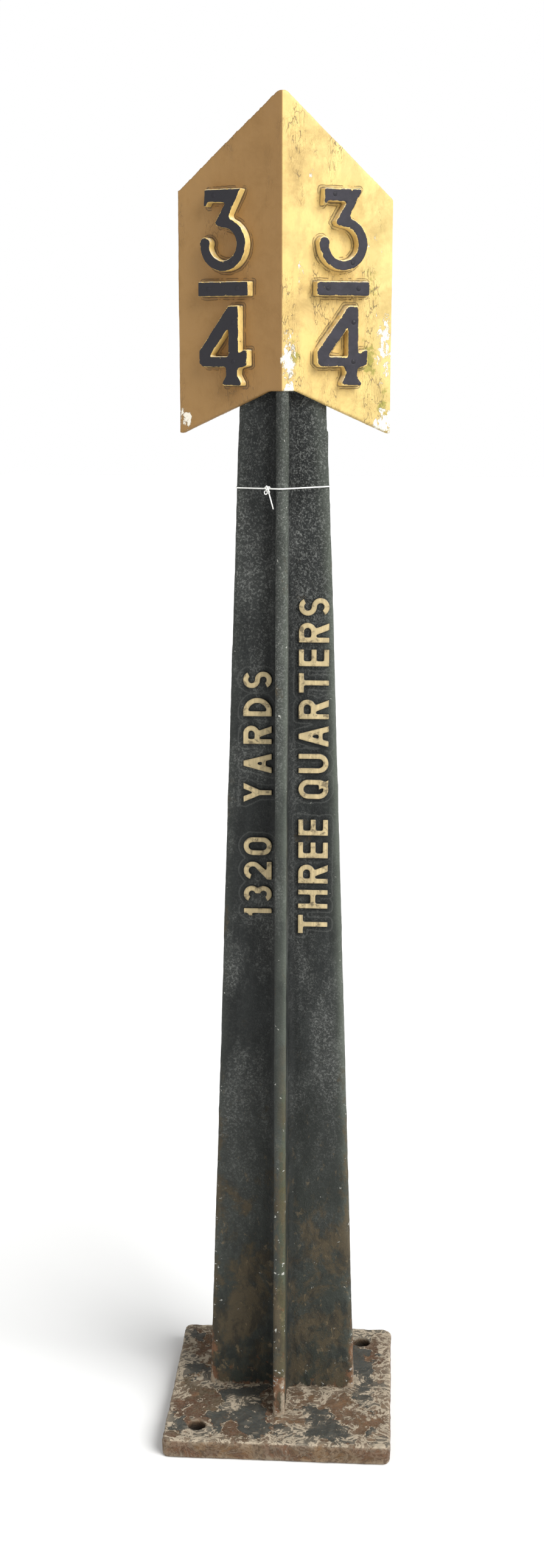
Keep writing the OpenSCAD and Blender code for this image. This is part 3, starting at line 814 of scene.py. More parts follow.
def plate_material():
    """Rusty iron with islands of old slate paint, ringed and streaked with pale flaking crust."""
    tone = settings().colours
    rust = Finish("RustedFootPlate")
    edge, flake, up, near, rim, bore = rust.mark("edge", "flake", "up", "by_shaft", "rim", "bore")
    fine = rust.blotches(70, detail=10, level=0.5, softness=0.08, rough=0.75)
    grain = rust.blotches(330, detail=5, level=0.52, softness=0.08)
    warm = rust.blotches(20, detail=9, level=0.5, softness=0.05, rough=0.72)
    bright = rust.blotches(34, detail=9, level=0.55, softness=0.05, rough=0.75)
    broad = rust.blotches(11, detail=6, level=0.5, softness=0.06)
    lichen = rust.blotches(110, detail=6, level=0.66, softness=0.03)
    beds = rust.blotches(24, detail=8, level=0.55, softness=0.03, rough=0.7, bias=near * 0.13 + rim * 0.16)
    curls = rust.group("Wrinkles", Scale=30.0, Width=0.10, Detail=7.0, Warp=2.2)
    level = flake + (fine.noise - 0.5) * 0.9
    islands = level.span(0.54, 0.60)
    ring = abs(level - 0.50).span(0.01, 0.07, 1.0, 0.0) * fine.noise.span(0.44, 0.52)
    curled = curls * beds * (0.55 + grain.noise)
    crusted = ring.maths("MAXIMUM", curled, ring).span(0.35, 0.62)
    iron = rust.layered(
        rgba(tone.rust, 0.62),
        (warm * 0.8, rgba(tone.earth, 1.5)),
        (bright * 0.55, rgba(tone.rust, 1.35)),
        (broad * 0.5, rgba(tone.rust, 1.15)),
        (fine * 0.4, rgba(tone.earth, 0.7)),
        (grain * 0.3, rgba(tone.crust, 0.45)),
    )
    sides = rust.layered(
        iron,
        (0.55, rgba(tone.rust, 0.6)),
        (broad * 0.6, rgba(tone.rust, 1.0)),
        (bright * broad.rest() * 0.7, rgba(tone.ochre, 1.15)),
        (fine * warm * 0.6, rgba(tone.earth, 0.5)),
        (broad.rest() * fine * 0.5, rgba(tone.ochre, 0.9)),
        (beds * bright * 0.4, rgba(tone.ochre, 0.6)),
        (lichen * 0.6, rgba(tone.crust, 0.7)),
        (curls * beds * 0.3, rgba(tone.crust, 0.5)),
        # Darker the deeper a point lies in a hole.
        (bore, rgba(tone.grime, 0.5)),
    )
    slate = rust.layered(
        rgba(tone.slate),
        (fine * 0.5, rgba(tone.slate, 1.8)),
        (grain * 0.3, rgba(tone.earth, 1.2)),
        (bright * 0.2, rgba(tone.earth)),
    )
    top = rust.layered(
        iron,
        (bright * warm * 0.5, rgba(tone.ochre)),
        (islands * 0.92, slate),
        (beds * 0.35, rgba(tone.crust, 0.55)),
        (crusted * 0.9, rgba(tone.crust)),
        (lichen * 0.7, rgba(tone.crust, 1.1)),
        # Darker near the foot of the shaft.
        (near * fine * 0.3, rgba(tone.earth, 0.6)),
    )
    whole = rust.layered(sides, (up, top), (edge * fine * 0.65, rgba(tone.crust, 0.85)))
    height = fine.noise * 1.8 + grain.noise * 0.6 + islands * 0.3 + crusted * 0.8 + lichen * 0.4
    return rust.finished(whole, islands.span(0.0, 1.0, 0.92, 0.62), height, 0.0017, 0.95, shine=0.25)


def numeral_material():
    """Black paint that laps over the edges of gilded numerals, worn to gold along their tops, with a painted
    highlight on their tops and painted light on the right wing's numerals.
    """
    tone = settings().colours
    paint = Finish("BlackFacedNumeral")
    edge, front, up = paint.mark("edge", "front", "up")
    right = paint.x.span(-0.001, 0.001)
    ragged = paint.blotches(120, detail=7, level=0.5, softness=0.1, rough=0.68)
    # Gold shows along the edges and tops as wear, and more on the right wing's numerals as a painted
    # highlight.
    worn = (edge + up * 0.8) * (0.4 + right * 0.6)
    faced = (front + (ragged.noise - 0.5) * 2.4 + up * -0.5 + worn * -0.75).span(0.38, 0.46)
    nicks = paint.blotches(190, detail=6, level=0.76, softness=0.02, bias=edge * 0.18 + up * 0.05)
    dust = paint.blotches(42, detail=8, level=0.56, softness=0.12, rough=0.7)
    dark = paint.layered(
        rgba(tone.black),
        (dust * 0.35, rgba(tone.black, 2.4)),
        # Painted light: the numerals on the right wing, which faces the key light, are painted lighter,
        # mottled by dust.
        (right * (0.35 + dust * 0.5), rgba(tone.black, 2.8)),
        (nicks * 0.8, rgba(tone.gold, 1.3)),
    )
    gold = paint.layered(
        rgba(tone.gold),
        (dust * 0.5, rgba(tone.dull_and_shaded_gold)),
        # Painted highlight: upward faces are painted pale in the primer colour.
        (ragged * up * 0.6, rgba(tone.cream)),
        (nicks * 0.6, rgba(tone.grime)),
    )
    height = dust.noise * 0.9 + faced * 0.5 + nicks * -0.5 + ragged.noise * 0.4
    roughness = dust.noise.span(0.3, 0.7, 0.4, 0.66)
    return paint.finished(paint.layered(gold, (faced, dark)), roughness, height, 0.0006, shine=0.35)


def pin_material():
    """Hammered pin heads: painted black with the numerals in front, rusty behind."""
    tone = settings().colours
    iron = Finish("HammeredPinIron")
    (front,) = iron.mark("front")
    rusted = iron.blotches(180, detail=6, level=0.50, softness=0.08)
    pits = iron.blotches(420, detail=4, level=0.6, softness=0.08)
    bare = iron.layered(
        rgba(tone.iron), (rusted * 0.75, rgba(tone.rust)), (pits * 0.4, rgba(tone.blister))
    )
    painted = iron.layered(rgba(tone.black), (rusted * 0.3, rgba(tone.black, 2.4)))
    roughness = rusted.noise.span(0.3, 0.7, 0.42, 0.75)
    height = rusted.noise + pits * -0.6
    return iron.finished(iron.layered(bare, (front, painted)), roughness, height, 0.0004, shine=0.35)


def legend_material():
    """Worn gilding on the tops of the letters, and dark paint down their sides."""
    tone = settings().colours
    gilding = Finish("WornGilding")
    edge, front = gilding.mark("edge", "front")
    worn = gilding.blotches(110, detail=8, level=0.575, softness=0.06, rough=0.7)
    tones = gilding.blotches(24, detail=6, level=0.5, softness=0.2)
    brush = gilding.blotches(
        1, detail=4, level=0.55, softness=0.12, Warp=0.0, Vector=gilding.stretched(300, 300, 26)
    )
    topped = (front + (worn.noise - 0.5) * 1.2).span(0.55, 0.80)
    gilt = gilding.layered(
        rgba(tone.gilt),
        (tones * 0.6, rgba(tone.gilt, 0.62)),
        (brush * 0.45, rgba(tone.gilt, 1.45)),
        # Darker where the gilded tops turn away from the front.
        (front.span(0.78, 0.99).rest() * 0.75, rgba(tone.earth, 1.1)),
        (edge * worn.noise * 0.9, rgba(tone.earth, 0.9)),
        (worn * 0.75, rgba(tone.earth, 1.1)),
    )
    whole = gilding.layered(rgba(tone.iron, 1.2), (topped, gilt))
    height = worn.noise * 0.8 + brush.noise * 0.3
    return gilding.finished(whole, worn.noise.span(0.3, 0.7, 0.4, 0.7), height, 0.0005)


def string_material():
    """White cotton with a little dirt in its twist."""
    tone = settings().colours
    cotton = Finish("WhiteCottonString")
    dirt = cotton.blotches(260, detail=5, level=0.58, softness=0.12)
    fluff = cotton.blotches(1900, detail=2, level=0.5, softness=0.2)
    base = cotton.layered(rgba(tone.string), (dirt * 0.35, rgba(tone.string_dirt)))
    return cotton.finished(base, 0.9, fluff.noise, 0.0002, 0.7)


def floor_material():
    """Pale paper with faint clouds."""
    tone = settings().colours
    paper = Finish("PaleFloor")
    cloud = paper.blotches(0.4, detail=3, level=0.5, softness=0.3)
    return paper.finished(paper.layered(rgba(tone.floor), (cloud * 0.1, rgba(tone.floor_shade))), 0.85)


def shared(maker):
    """The material of a maker that is used on several pieces."""
    known = {material.get("maker"): material for material in bpy.data.materials}
    if maker.__name__ in known:
        return known[maker.__name__]
    made = maker()
    made["maker"] = maker.__name__
    return made


# ---------------------------------------------------------------- pieces


def piece_name(node):
    return "".join(word.capitalize() for word in node.split("_"))


def outward(side):
    """The way the front face of a wing looks."""
    sweep = settings().shape.wing_angle
    return Vector((side * math.sin(sweep), -math.cos(sweep), 0))


def mark_near(obj, name, others, reach):
    """Stores how near each point is to the surface of other objects: 1 touches, 0 is out of reach."""
    trees = []
    for other in others:
        points = [vert.co for vert in other.data.vertices]
        faces = [tuple(face.vertices) for face in other.data.polygons]
        trees.append(BVHTree.FromPolygons(points, faces))
    values = np.zeros(len(obj.data.vertices))
    for index, vert in enumerate(obj.data.vertices):
        gaps = [hit[3] for hit in (tree.find_nearest(vert.co, reach) for tree in trees) if hit[0]]
        if gaps:
            values[index] = 1 - min(gaps) / reach
    keep_value(obj, name, values)


def mark_facing(obj, name, direction, low, high):
    """Stores how squarely each point faces a direction, from 0 at low to 1 at high."""
    normals = mesh_arrays(obj)[1]
    facing = normals @ np.array(direction)
    keep_value(obj, name, np.clip((facing - low) / (high - low), 0, 1))


def group_from(obj, name, values):
    """Stores weights for a modifier to read."""
    made = obj.vertex_groups.new(name=name)
    for index in np.flatnonzero(np.asarray(values) > 0.003):
        made.add([int(index)], float(values[index]), "REPLACE")


def both_sides(parts):
    """The CAD nodes of some parts of the fraction on both wings."""
    return [frame["nodes"][f"{name}_{part}"] for name in SIDE_NAMES.values() for part in parts]


def lumpy(obj, size, octaves, bias=0.0):
    """Fractal noise at each point, spread evenly from 0 to 1 over the piece."""
    values = np.array(
        [noise.fractal(vert.co / size, 0.8, 2.0, octaves) for vert in obj.data.vertices]
    ) + bias
    order = np.empty(len(values))
    order[values.argsort(kind="stable")] = np.linspace(0, 1, len(values))
    return order


class POST_OT_foot_plate(bpy.types.Operator):
    """Makes the square foot plate with its two holding-down holes"""

    bl_idname = "distance_post.foot_plate"
    bl_label = "Foot Plate"

    RIM_WIDTH = 0.03
    ISLAND_SIZE = 0.05
    FREE_HEIGHT = 0.004
    PAINT_THICKNESS = 0.0006
    BORE_MARGIN = 0.0015

    def execute(self, context):
        shape, wear = settings().shape, settings().wear
        plate = block("FootPlateCasting", PLATE_LOW, PLATE_HIGH)
        edit(plate, "EDGE")
        choose_edges(plate, lambda middle, way: abs(way.z) > 0.9)
        bpy.ops.mesh.bevel(offset=shape.corner_radius, segments=6, affect="EDGES")
        choose_edges(plate, lambda middle, way: abs(way.z) < 0.1)
        bpy.ops.mesh.bevel(offset=shape.rim_bevel, segments=2, affect="EDGES")
        done()
        for x, y in self.hole_places():
            bpy.ops.mesh.primitive_cylinder_add(
                vertices=64, radius=shape.hole_radius, depth=0.1, location=(x, y, PLATE_HIGH.z / 2)
            )
            drill = context.active_object
            settle(drill)
            apply(plate, "BOOLEAN", "Hole", operation="DIFFERENCE", object=drill, solver="EXACT")
            bpy.data.objects.remove(drill)
        even_mesh(plate, wear.plate_grain, softening=2)
        co, normals = mesh_arrays(plate)
        up = np.clip((normals[:, 2] - 0.3) / 0.4, 0, 1) * (co[:, 2] > 0.5 * PLATE_HIGH.z)
        # the paint has held in the middle and come off towards the rim
        rim = np.clip(1 - (PLATE_HIGH.x - np.abs(co[:, :2]).max(1)) / self.RIM_WIDTH, 0, 1)
        loose = lumpy(plate, self.ISLAND_SIZE, 7, -0.30 * rim)
        # the underside stays flat on the ground
        free = np.clip(co[:, 2] / self.FREE_HEIGHT, 0, 1)
        group_from(plate, "raised", np.clip((loose - 0.5) / 0.1, 0, 1) * up)
        group_from(plate, "free", free)
        apply(
            plate, "DISPLACE", "Paint islands", vertex_group="raised", strength=self.PAINT_THICKNESS,
            mid_level=0,
        )
        roughen(plate, size=0.035, depth=0.0032, octaves=3, group="free")
        roughen(plate, size=0.008, depth=0.0014, octaves=2, group="free")
        keep_value(plate, "flake", loose)
        keep_value(plate, "rim", rim)
        keep_value(plate, "bore", self.bore(co))
        mark_near(plate, "by_shaft", [frame["nodes"]["shaft"]], 0.022)
        keep_value(plate, "up", up)
        mark_edges(plate, rounds=6, gain=900)
        finish_piece(plate, plate_material(), "rusted_iron", "foot_plate")
        return {"FINISHED"}

    def hole_places(self):
        """Middles of the two holes: one at the front left and one at the back right."""
        across, along = settings().shape.hole_inset
        return [(side * (PLATE_HIGH.x - across), side * (PLATE_HIGH.y - along)) for side in (LEFT, RIGHT)]

    def bore(self, co):
        """How deep in a hole each point lies, from 0 at the top to 1 at half the plate's thickness."""
        radius = settings().shape.hole_radius + self.BORE_MARGIN
        inside = np.zeros(len(co), bool)
        for x, y in self.hole_places():
            inside |= np.hypot(co[:, 0] - x, co[:, 1] - y) < radius
        return inside * np.clip(1.1 - co[:, 2] / PLATE_HIGH.z, 0, 0.5) * 2


class POST_OT_shaft(bpy.types.Operator):
    """Makes the tapering cross-shaped shaft with its stopped chamfers"""

    bl_idname = "distance_post.shaft"
    bl_label = "Shaft"

    WEB_INSET = 0.006
    WEB_LAP = 0.02
    CHAMFER_SLOPE = 0.8

    def execute(self, context):
        shape = settings().shape
        self.foot_z, self.head_z = SHAFT_LOW.z - SUNK, HEAD_LOW.z
        self.arch_z = self.head_z + shape.arch_rise
        self.shoulder_z = self.arch_z + shape.shoulder_rise
        rise = self.head_z - SHAFT_LOW.z
        self.side_lean = (SHAFT_HIGH.x - shape.flange_top / 2) / rise
        self.rib_lean = (SHAFT_HIGH.y - shape.rib_top) / rise

        castings = [self.flange(shape), self.rib(shape), self.web(shape), self.roots(shape)]
        shaft = fuse("ShaftCasting", castings)
        even_mesh(shaft, settings().wear.shaft_grain, softening=3)
        roughen(shaft, size=0.12, depth=0.0016, octaves=2)
        roughen(shaft, size=0.014, depth=0.0009, octaves=3)
        mark_edges(shaft, rounds=6, gain=700)
        mark_near(shaft, "by_letter", [frame["nodes"][node] for node in LEGEND], 0.011)
        finish_piece(shaft, black_material(), "black_paint", "shaft")
        return {"FINISHED"}

    def flange(self, shape):
        """The flange tapers up to the arch of the head and ends in a sloping shoulder."""
        half, thick = SHAFT_HIGH.x, shape.flange_thickness / 2
        flange = block(
            "ShaftCasting", (-half - OVERLAP, -thick, self.foot_z), (half + OVERLAP, thick, self.shoulder_z)
        )
        shoulder = half - self.side_lean * (self.arch_z - SHAFT_LOW.z)
        step = shoulder - (shape.flange_top / 2 - shape.shoulder_step)
        for side in (LEFT, RIGHT):
            cut(flange, (side * half, 0, SHAFT_LOW.z), (side, 0, self.side_lean))
            cut(flange, (side * shoulder, 0, self.arch_z), (side, 0, step / shape.shoulder_rise))
        stop_z = SHAFT_LOW.z + shape.flange_stop
        stop_x = half - self.side_lean * (stop_z - SHAFT_LOW.z)
        for face in (FRONT, BACK):
            for side, width in ((LEFT, shape.left_chamfer), (RIGHT, shape.right_chamfer)):
                stop = Vector((side * stop_x, face * thick, stop_z))
                end = Vector((side * shape.flange_top / 2, face * thick, self.head_z))
                self.chamfer(flange, stop, end, side, face, width)
        return flange

    def rib(self, shape):
        """One bar through the flange makes the front and the back rib."""
        reach, thick = SHAFT_HIGH.y, shape.rib_thickness / 2
        rib = block(
            "Rib", (-thick, -reach - OVERLAP, self.foot_z), (thick, reach + OVERLAP, self.arch_z)
        )
        for face in (FRONT, BACK):
            cut(rib, (0, face * reach, SHAFT_LOW.z), (0, face, self.rib_lean))
        stop_z = SHAFT_LOW.z + shape.rib_stop
        stop_y = reach - self.rib_lean * (stop_z - SHAFT_LOW.z)
        for face in (FRONT, BACK):
            for side in (LEFT, RIGHT):
                stop = Vector((side * thick, face * stop_y, stop_z))
                end = Vector((side * thick, face * shape.rib_top, self.head_z))
                self.chamfer(rib, stop, end, side, face, shape.rib_chamfer)
        return rib

    def web(self, shape):
        """The web carries the head from behind."""
        thick, top_z = shape.rib_thickness / 2, SHAFT_HIGH.z
        web = block(
            "Web", (-thick, RIDGE_Y + self.WEB_INSET, self.arch_z - self.WEB_LAP),
            (thick, shape.rib_top, top_z),
        )
        back_y = RIDGE_Y + shape.wing_thickness / math.cos(shape.wing_angle) + shape.web_depth
        cut(web, (0, back_y, top_z), (0, 1, (shape.rib_top - back_y) / (top_z - self.head_z)))
        return web

    def roots(self, shape):
        """A square bar stood on its corner fills the four roots."""
        size = shape.root_size
        roots = block("Roots", (-size, -size, self.foot_z), (size, size, self.shoulder_z))
        turn_about(roots, (0, 0, 0), math.radians(45))
        return roots

    def chamfer(self, obj, stop, end, side, face, width):
        """Cuts a chamfer along an edge, from nothing at its stop to its full width at its end."""
        across = end - Vector((side * width, 0, 0))
        inward = end - Vector((0, face * self.CHAMFER_SLOPE * width, 0))
        normal = (across - stop).cross(inward - stop).normalized()
        if normal.dot(Vector((side, face, 0))) < 0:
            normal.negate()
        cut(obj, stop, normal)


class POST_OT_head(bpy.types.Operator):
    """Makes the head: two swept wings with a gabled top and an arched lower edge"""

    bl_idname = "distance_post.head"
    bl_label = "Head"

    def execute(self, context):
        head = fuse("HeadCasting", [self.wing(side) for side in (LEFT, RIGHT)])
        even_mesh(head, settings().wear.head_grain, softening=2)
        roughen(head, size=0.07, depth=0.0012, octaves=2)
        roughen(head, size=0.011, depth=0.0005, octaves=3)
        mark_edges(head, rounds=6, gain=900)
        mark_near(head, "by_numeral", both_sides(FRACTION), 0.010)
        mark_near(head, "by_pin", both_sides(PIN_OF.values()), 0.014)
        mark_facing(head, "back", (0, 1, 0), 0.1, 0.5)
        finish_piece(head, gold_material(), "gold_paint", "head")
        return {"FINISHED"}

    def wing(self, side):
        """A wing is shaped flat, from a slab between the ridge and its edge, and then swept back."""
        shape = settings().shape
        width, flat = shape.wing_width, shape.arch_flat
        low_z, top_z = HEAD_LOW.z, HEAD_HIGH.z
        edge_h = shape.right_edge if side == RIGHT else shape.left_edge
        gable = top_z - low_z - edge_h
        ends = sorted((0, side * width))
        wing = block(
            f"{SIDE_NAMES[side].capitalize()}Wing", (ends[0], 0, low_z),
            (ends[1], shape.wing_thickness, top_z),
        )
        cut(wing, (side * flat, 0, 0), (1, 0, 0), off=False)
        shift(wing, lambda co: abs(co.x) < flat + AT and co.z < low_z + AT, (0, 0, shape.arch_rise))
        blunt = width * shape.apex_blunt / (gable + shape.apex_blunt)
        cut(wing, (side * blunt, 0, 0), (1, 0, 0), off=False)
        shift(wing, lambda co: abs(co.x) > width - AT and co.z > top_z - AT, (0, 0, -gable))
        shift(
            wing, lambda co: abs(abs(co.x) - flat) < AT and co.z > top_z - AT,
            (0, 0, -(flat - blunt) * gable / (width - blunt)),
        )
        turn_about(wing, (0, 0, 0), side * shape.wing_angle)
        shift(wing, lambda co: True, (0, RIDGE_Y, 0))
        return wing


class POST_OT_numerals(bpy.types.Operator):
    """Makes the six numerals of the fraction, three on each wing"""

    bl_idname = "distance_post.numerals"
    bl_label = "Numerals"

    PIN_DENT = 0.0003

    def execute(self, context):
        for side in (LEFT, RIGHT):
            way = outward(side)
            for part in FRACTION:
                node = f"{SIDE_NAMES[side]}_{part}"
                numeral = copy_of(node, piece_name(node))
                wing_face = RIDGE_Y * way.y
                numeral_face = max(v.co.dot(way) for v in numeral.data.vertices)
                # plugs fill the pin holes up to just under the face
                plugs = copy_of(f"{SIDE_NAMES[side]}_{PIN_OF[part]}", "Plugs")
                cut(plugs, (wing_face + OVERLAP) * way, -way)
                cut(plugs, (numeral_face - self.PIN_DENT) * way, way)
                # its back is sunk into the wing, so that only its front edges are worn
                shift(numeral, lambda co: co.dot(way) < wing_face + OVERLAP, -SUNK * way)
                numeral = fuse(piece_name(node), [numeral, plugs])
                even_mesh(numeral, settings().wear.numeral_grain, softening=9)
                roughen(numeral, size=0.02, depth=0.0006, octaves=2)
                mark_edges(numeral, rounds=8, gain=1500)
                mark_facing(numeral, "front", way, 0.1, 1.0)
                mark_facing(numeral, "up", (0, 0, 1), 0.15, 0.8)
                finish_piece(numeral, shared(numeral_material), "numeral_black", node)
        return {"FINISHED"}


class POST_OT_pins(bpy.types.Operator):
    """Makes the riveted pins that hold the numerals"""

    bl_idname = "distance_post.pins"
    bl_label = "Pins"

    def execute(self, context):
        for side in (LEFT, RIGHT):
            for part in PIN_OF.values():
                node = f"{SIDE_NAMES[side]}_{part}"
                pins = copy_of(node, piece_name(node))
                even_mesh(pins, settings().wear.pin_grain, softening=3)
                roughen(pins, size=0.004, depth=0.0004, octaves=1)
                mark_edges(pins, rounds=4, gain=1500)
                mark_facing(pins, "front", outward(side), 0.2, 0.6)
                finish_piece(pins, shared(pin_material), "pin_iron", node)
        return {"FINISHED"}


class POST_OT_legend(bpy.types.Operator):
    """Makes the raised words and number cast on the shaft"""

    bl_idname = "distance_post.legend"
    bl_label = "Legend"

    BACK_DEPTH = 0.0005
    SINK = 0.002

    def execute(self, context):
        for node in LEGEND:
            words = copy_of(node, piece_name(node))
            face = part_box(node)[1].y
            # the backs of the letters are sunk into the flange
            shift(words, lambda co: co.y > face - self.BACK_DEPTH, (0, self.SINK, 0))
            even_mesh(words, settings().wear.letter_grain, softening=16)
            roughen(words, size=0.012, depth=0.0006, octaves=2)
            mark_edges(words, rounds=8, gain=1500)
            mark_facing(words, "front", (0, -1, 0), 0.2, 1.0)
            finish_piece(words, shared(legend_material), "legend_gold", node)
        return {"FINISHED"}


# Radius of a strand as a share of the string's diameter, and rings of points in each turn of it
STRAND_SHARE, STEPS_PER_TURN = 0.27, 10


def twisted(name, route, diameter, lay_length, strands=3):
    """A string of twisted strands along a route, made as one mesh, and the points of its middle."""
    points = [Vector(p) for p in route]
    gaps = [(b - a).length for a, b in zip(points, points[1:])]
    total = sum(gaps)
    steps = max(8, int(total / lay_length * STEPS_PER_TURN))
    strand_r = diameter * STRAND_SHARE
    middle = []
    for step in range(steps + 1):
        left = total * step / steps
        index = 0
        while index < len(gaps) - 1 and left > gaps[index]:
            left -= gaps[index]
            index += 1
        middle.append(points[index].lerp(points[index + 1], min(1, left / gaps[index])))
    frames, side = [], None
    for index in range(len(middle)):
        ahead = middle[min(index + 1, steps)] - middle[max(index - 1, 0)]
        ahead.normalize()
        if side is None:
            side = ahead.orthogonal().normalized()
        side = (side - ahead * side.dot(ahead)).normalized()
        frames.append((side.copy(), ahead.cross(side)))
    made = []
    for strand in range(strands):
        line = bpy.data.curves.new(name, "CURVE")
        line.dimensions = "3D"
        line.bevel_depth = strand_r
        line.bevel_resolution = 1
        line.use_fill_caps = True
        spline = line.splines.new("POLY")
        spline.points.add(steps)
        for index, (centre, (u, v)) in enumerate(zip(middle, frames)):
            turn = 2 * math.pi * (index / steps * total / lay_length + strand / strands)
            place = centre + (diameter / 2 - strand_r) * (u * math.cos(turn) + v * math.sin(turn))
            spline.points[index].co = (*place, 1)
        item = bpy.data.objects.new(name, line)
        bpy.context.collection.objects.link(item)
        pick(item)
        bpy.ops.object.convert(target="MESH")
        made.append(bpy.context.active_object)
    return fuse(name, made), middle


def rounded(route, rounds=2):
    """Cuts the corners of a route of points, and keeps its ends."""
    route = [Vector(point) for point in route]
    for _ in range(rounds):
        cut_route = [route[0]]
        for a, b in zip(route, route[1:]):
            cut_route += [a.lerp(b, 0.25), a.lerp(b, 0.75)]
        route = cut_route + [route[-1]]
    return route


def ring_centres(node, link):
    """Centres of the rings of points that make up a tube, in order round the upright axis."""
    rings = []
    for point in {tuple(round(c, 6) for c in vert.co) for vert in frame["nodes"][node].data.vertices}:
        point = Vector(point)
        near = [ring for ring in rings if any((point - other).length < link for other in ring)]
        rings = [ring for ring in rings if ring not in near]
        rings.append([point] + [other for ring in near for other in ring])
    centres = [sum(ring, Vector()) / len(ring) for ring in rings]
    return sorted(centres, key=lambda centre: math.atan2(centre.y, centre.x))


class POST_OT_string(bpy.types.Operator):
    """Ties the loop of string round the shaft, with its knot and its loose end"""

    bl_idname = "distance_post.string"
    bl_label = "String"

    # more than the gaps within one ring of the CAD tube, less than those between rings
    RING_LINK = 0.0013
    # small loops below the knot: how far to the side, half width and half drop, in knot radii
    BIGHTS = ((-0.62, 0.5, 0.62), (0.3, 0.42, 0.4))
    KNOT_STEPS = 48

    def execute(self, context):
        shape = settings().shape
        thick, twist = shape.string_diameter, shape.string_twist
        cotton = string_material()
        low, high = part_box("string_knot")
        radius = (high.y - low.y) / 2
        knot_at = Vector((low.x + radius, (low.y + high.y) / 2, high.z - radius))

        # the loop runs from the knot round the shaft and back into the knot
        centres = ring_centres("string_loop", self.RING_LINK)
        after = [c for c in centres if math.atan2(c.y, c.x) > math.atan2(knot_at.y, knot_at.x)]
        before = [c for c in centres if c not in after]
        loop, _ = twisted("StringLoop", [knot_at, *after, *before, knot_at], thick, twist)
        finish_piece(loop, cotton, "white_string", "string_loop")

        turns = [2 * math.pi * step / self.KNOT_STEPS for step in range(self.KNOT_STEPS + 1)]
        over = [
            knot_at + radius * 0.3 * Vector((
                math.sin(t) + 2 * math.sin(2 * t), 0.9 * math.sin(3 * t), math.cos(t) - 2 * math.cos(2 * t),
            ))
            for t in turns
        ]
        knot, _ = twisted("StringKnot", over, thick, twist)
        bights = [
            twisted(
                "Bight",
                [
                    knot_at + radius * Vector((
                        side + width * math.sin(t), 0.25 * math.cos(t), -0.75 - drop * (1 - math.cos(t)),
                    ))
                    for t in turns
                ],
                0.8 * thick, twist,
            )[0]
            for side, width, drop in self.BIGHTS
        ]
        knot = fuse("StringKnot", [knot, *bights])
        finish_piece(knot, cotton, "white_string", "string_knot")

        # the loose end wraps over the knot before it hangs
        hang = knot_at + Vector((0.5 * radius, 0, -1.52 * radius))
        route = [knot_at + Vector(step) * radius for step in TAIL_WRAP]
        route += [hang + Vector(step) / 1000 for step in TAIL_ROUTE_MM]
        tail, middle = twisted("StringTail", rounded(route), thick, twist)
        finish_piece(tail, cotton, "white_string", "string_tail")
        long = sum((b - a).length for a, b in zip(middle, middle[1:]))
        return {"FINISHED"}


# ---------------------------------------------------------------- stage


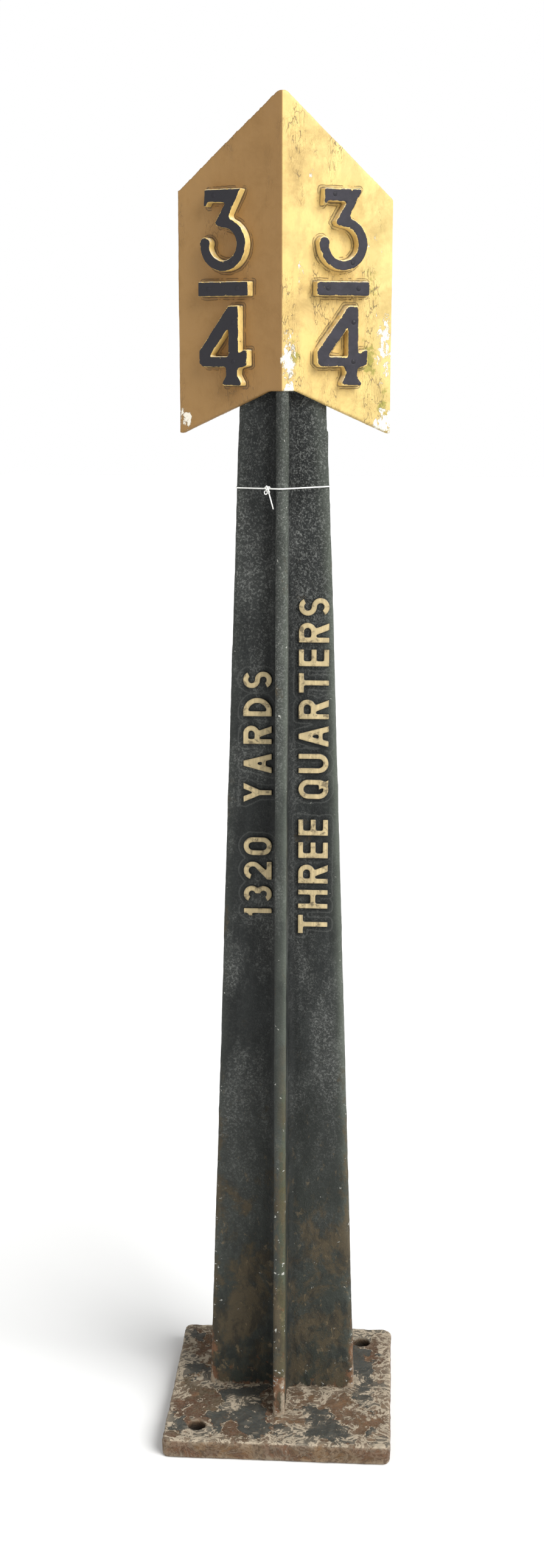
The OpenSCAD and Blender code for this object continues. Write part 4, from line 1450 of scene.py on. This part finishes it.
class POST_OT_stage(bpy.types.Operator):
    """Sets the camera, the pale floor and the soft light"""

    bl_idname = "distance_post.stage"
    bl_label = "Stage"

    def execute(self, context):
        stage = settings().stage
        scene = context.scene
        look = (math.pi / 2 - stage.tilt, 0, stage.turn)
        bpy.ops.object.camera_add(location=stage.eye, rotation=look)
        camera = context.active_object
        camera.data.lens = stage.lens
        camera.data.sensor_width = 36
        camera.data.dof.use_dof = False
        scene.camera = camera

        bpy.ops.mesh.primitive_plane_add(size=40)
        floor = context.active_object
        floor.name = "Floor"
        floor.data.materials.append(floor_material())

        world = bpy.data.worlds.new("SoftSky")
        world.use_nodes = True
        sky = world.node_tree
        background = sky.nodes["Background"]
        background.inputs["Color"].default_value = (1, 1, 1, 1)
        seen = Signal(add(sky, "ShaderNodeLightPath").outputs["Is Camera Ray"])
        feed(background.inputs["Strength"], seen.span(0.0, 1.0, stage.sky, 1.0))
        scene.world = world
        self.sun("KeyLight", stage.key_side, stage.key_height, stage.key_power)
        self.sun("FillLight", stage.fill_side, stage.fill_height, stage.fill_power)
        scene.view_settings.view_transform = "Standard"
        return {"FINISHED"}

    def sun(self, name, side, height, power):
        """A broad soft light from a side, measured from the front, and a height above the ground."""
        bpy.ops.object.light_add(type="SUN", location=(0, 0, 3))
        made = bpy.context.active_object
        made.name = name
        made.data.energy = power
        made.data.angle = settings().stage.softness
        way = Vector((
            math.sin(side) * math.cos(height), -math.cos(side) * math.cos(height), math.sin(height),
        ))
        made.rotation_euler = (-way).to_track_quat("-Z", "Y").to_euler()


class DistancePost(bpy.types.PropertyGroup):
    """All settings of the distance post."""

    shape: bpy.props.PointerProperty(name="Shape", description="Sizes of the castings", type=PostShape)
    wear: bpy.props.PointerProperty(name="Wear", description="Fineness of the meshes", type=PostWear)
    colours: bpy.props.PointerProperty(
        name="Colours", description="Paints, rust and growth", type=PostColours
    )
    stage: bpy.props.PointerProperty(name="Stage", description="Camera and light", type=PostStage)


class POST_PT_panel(bpy.types.Panel):
    """Lists the pieces of the post and its settings"""

    bl_idname = "POST_PT_panel"
    bl_label = "Distance Post"
    bl_space_type = "VIEW_3D"
    bl_region_type = "UI"
    bl_category = "Distance Post"

    def draw(self, context):
        for operator in OPERATORS:
            self.layout.operator(operator.bl_idname)
        post = context.scene.distance_post
        for part in (post.shape, post.wear, post.colours, post.stage):
            box = self.layout.box()
            for key in part.__annotations__:
                box.prop(part, key)


OPERATORS = (
    POST_OT_stage,
    POST_OT_string,
    POST_OT_foot_plate,
    POST_OT_shaft,
    POST_OT_head,
    POST_OT_numerals,
    POST_OT_pins,
    POST_OT_legend,
)
CLASSES = (PostShape, PostWear, PostColours, PostStage, DistancePost, *OPERATORS, POST_PT_panel)


def register():
    for cls in CLASSES:
        bpy.utils.register_class(cls)
    bpy.types.Scene.distance_post = bpy.props.PointerProperty(
        name="Distance post", description="Settings of the distance post", type=DistancePost
    )


def unregister():
    del bpy.types.Scene.distance_post
    for cls in reversed(CLASSES):
        bpy.utils.unregister_class(cls)


def main():
    register()
    for operator in OPERATORS:
        family, action = operator.bl_idname.split(".")
        getattr(getattr(bpy.ops, family), action)()


if __name__ == "__main__":
    main()
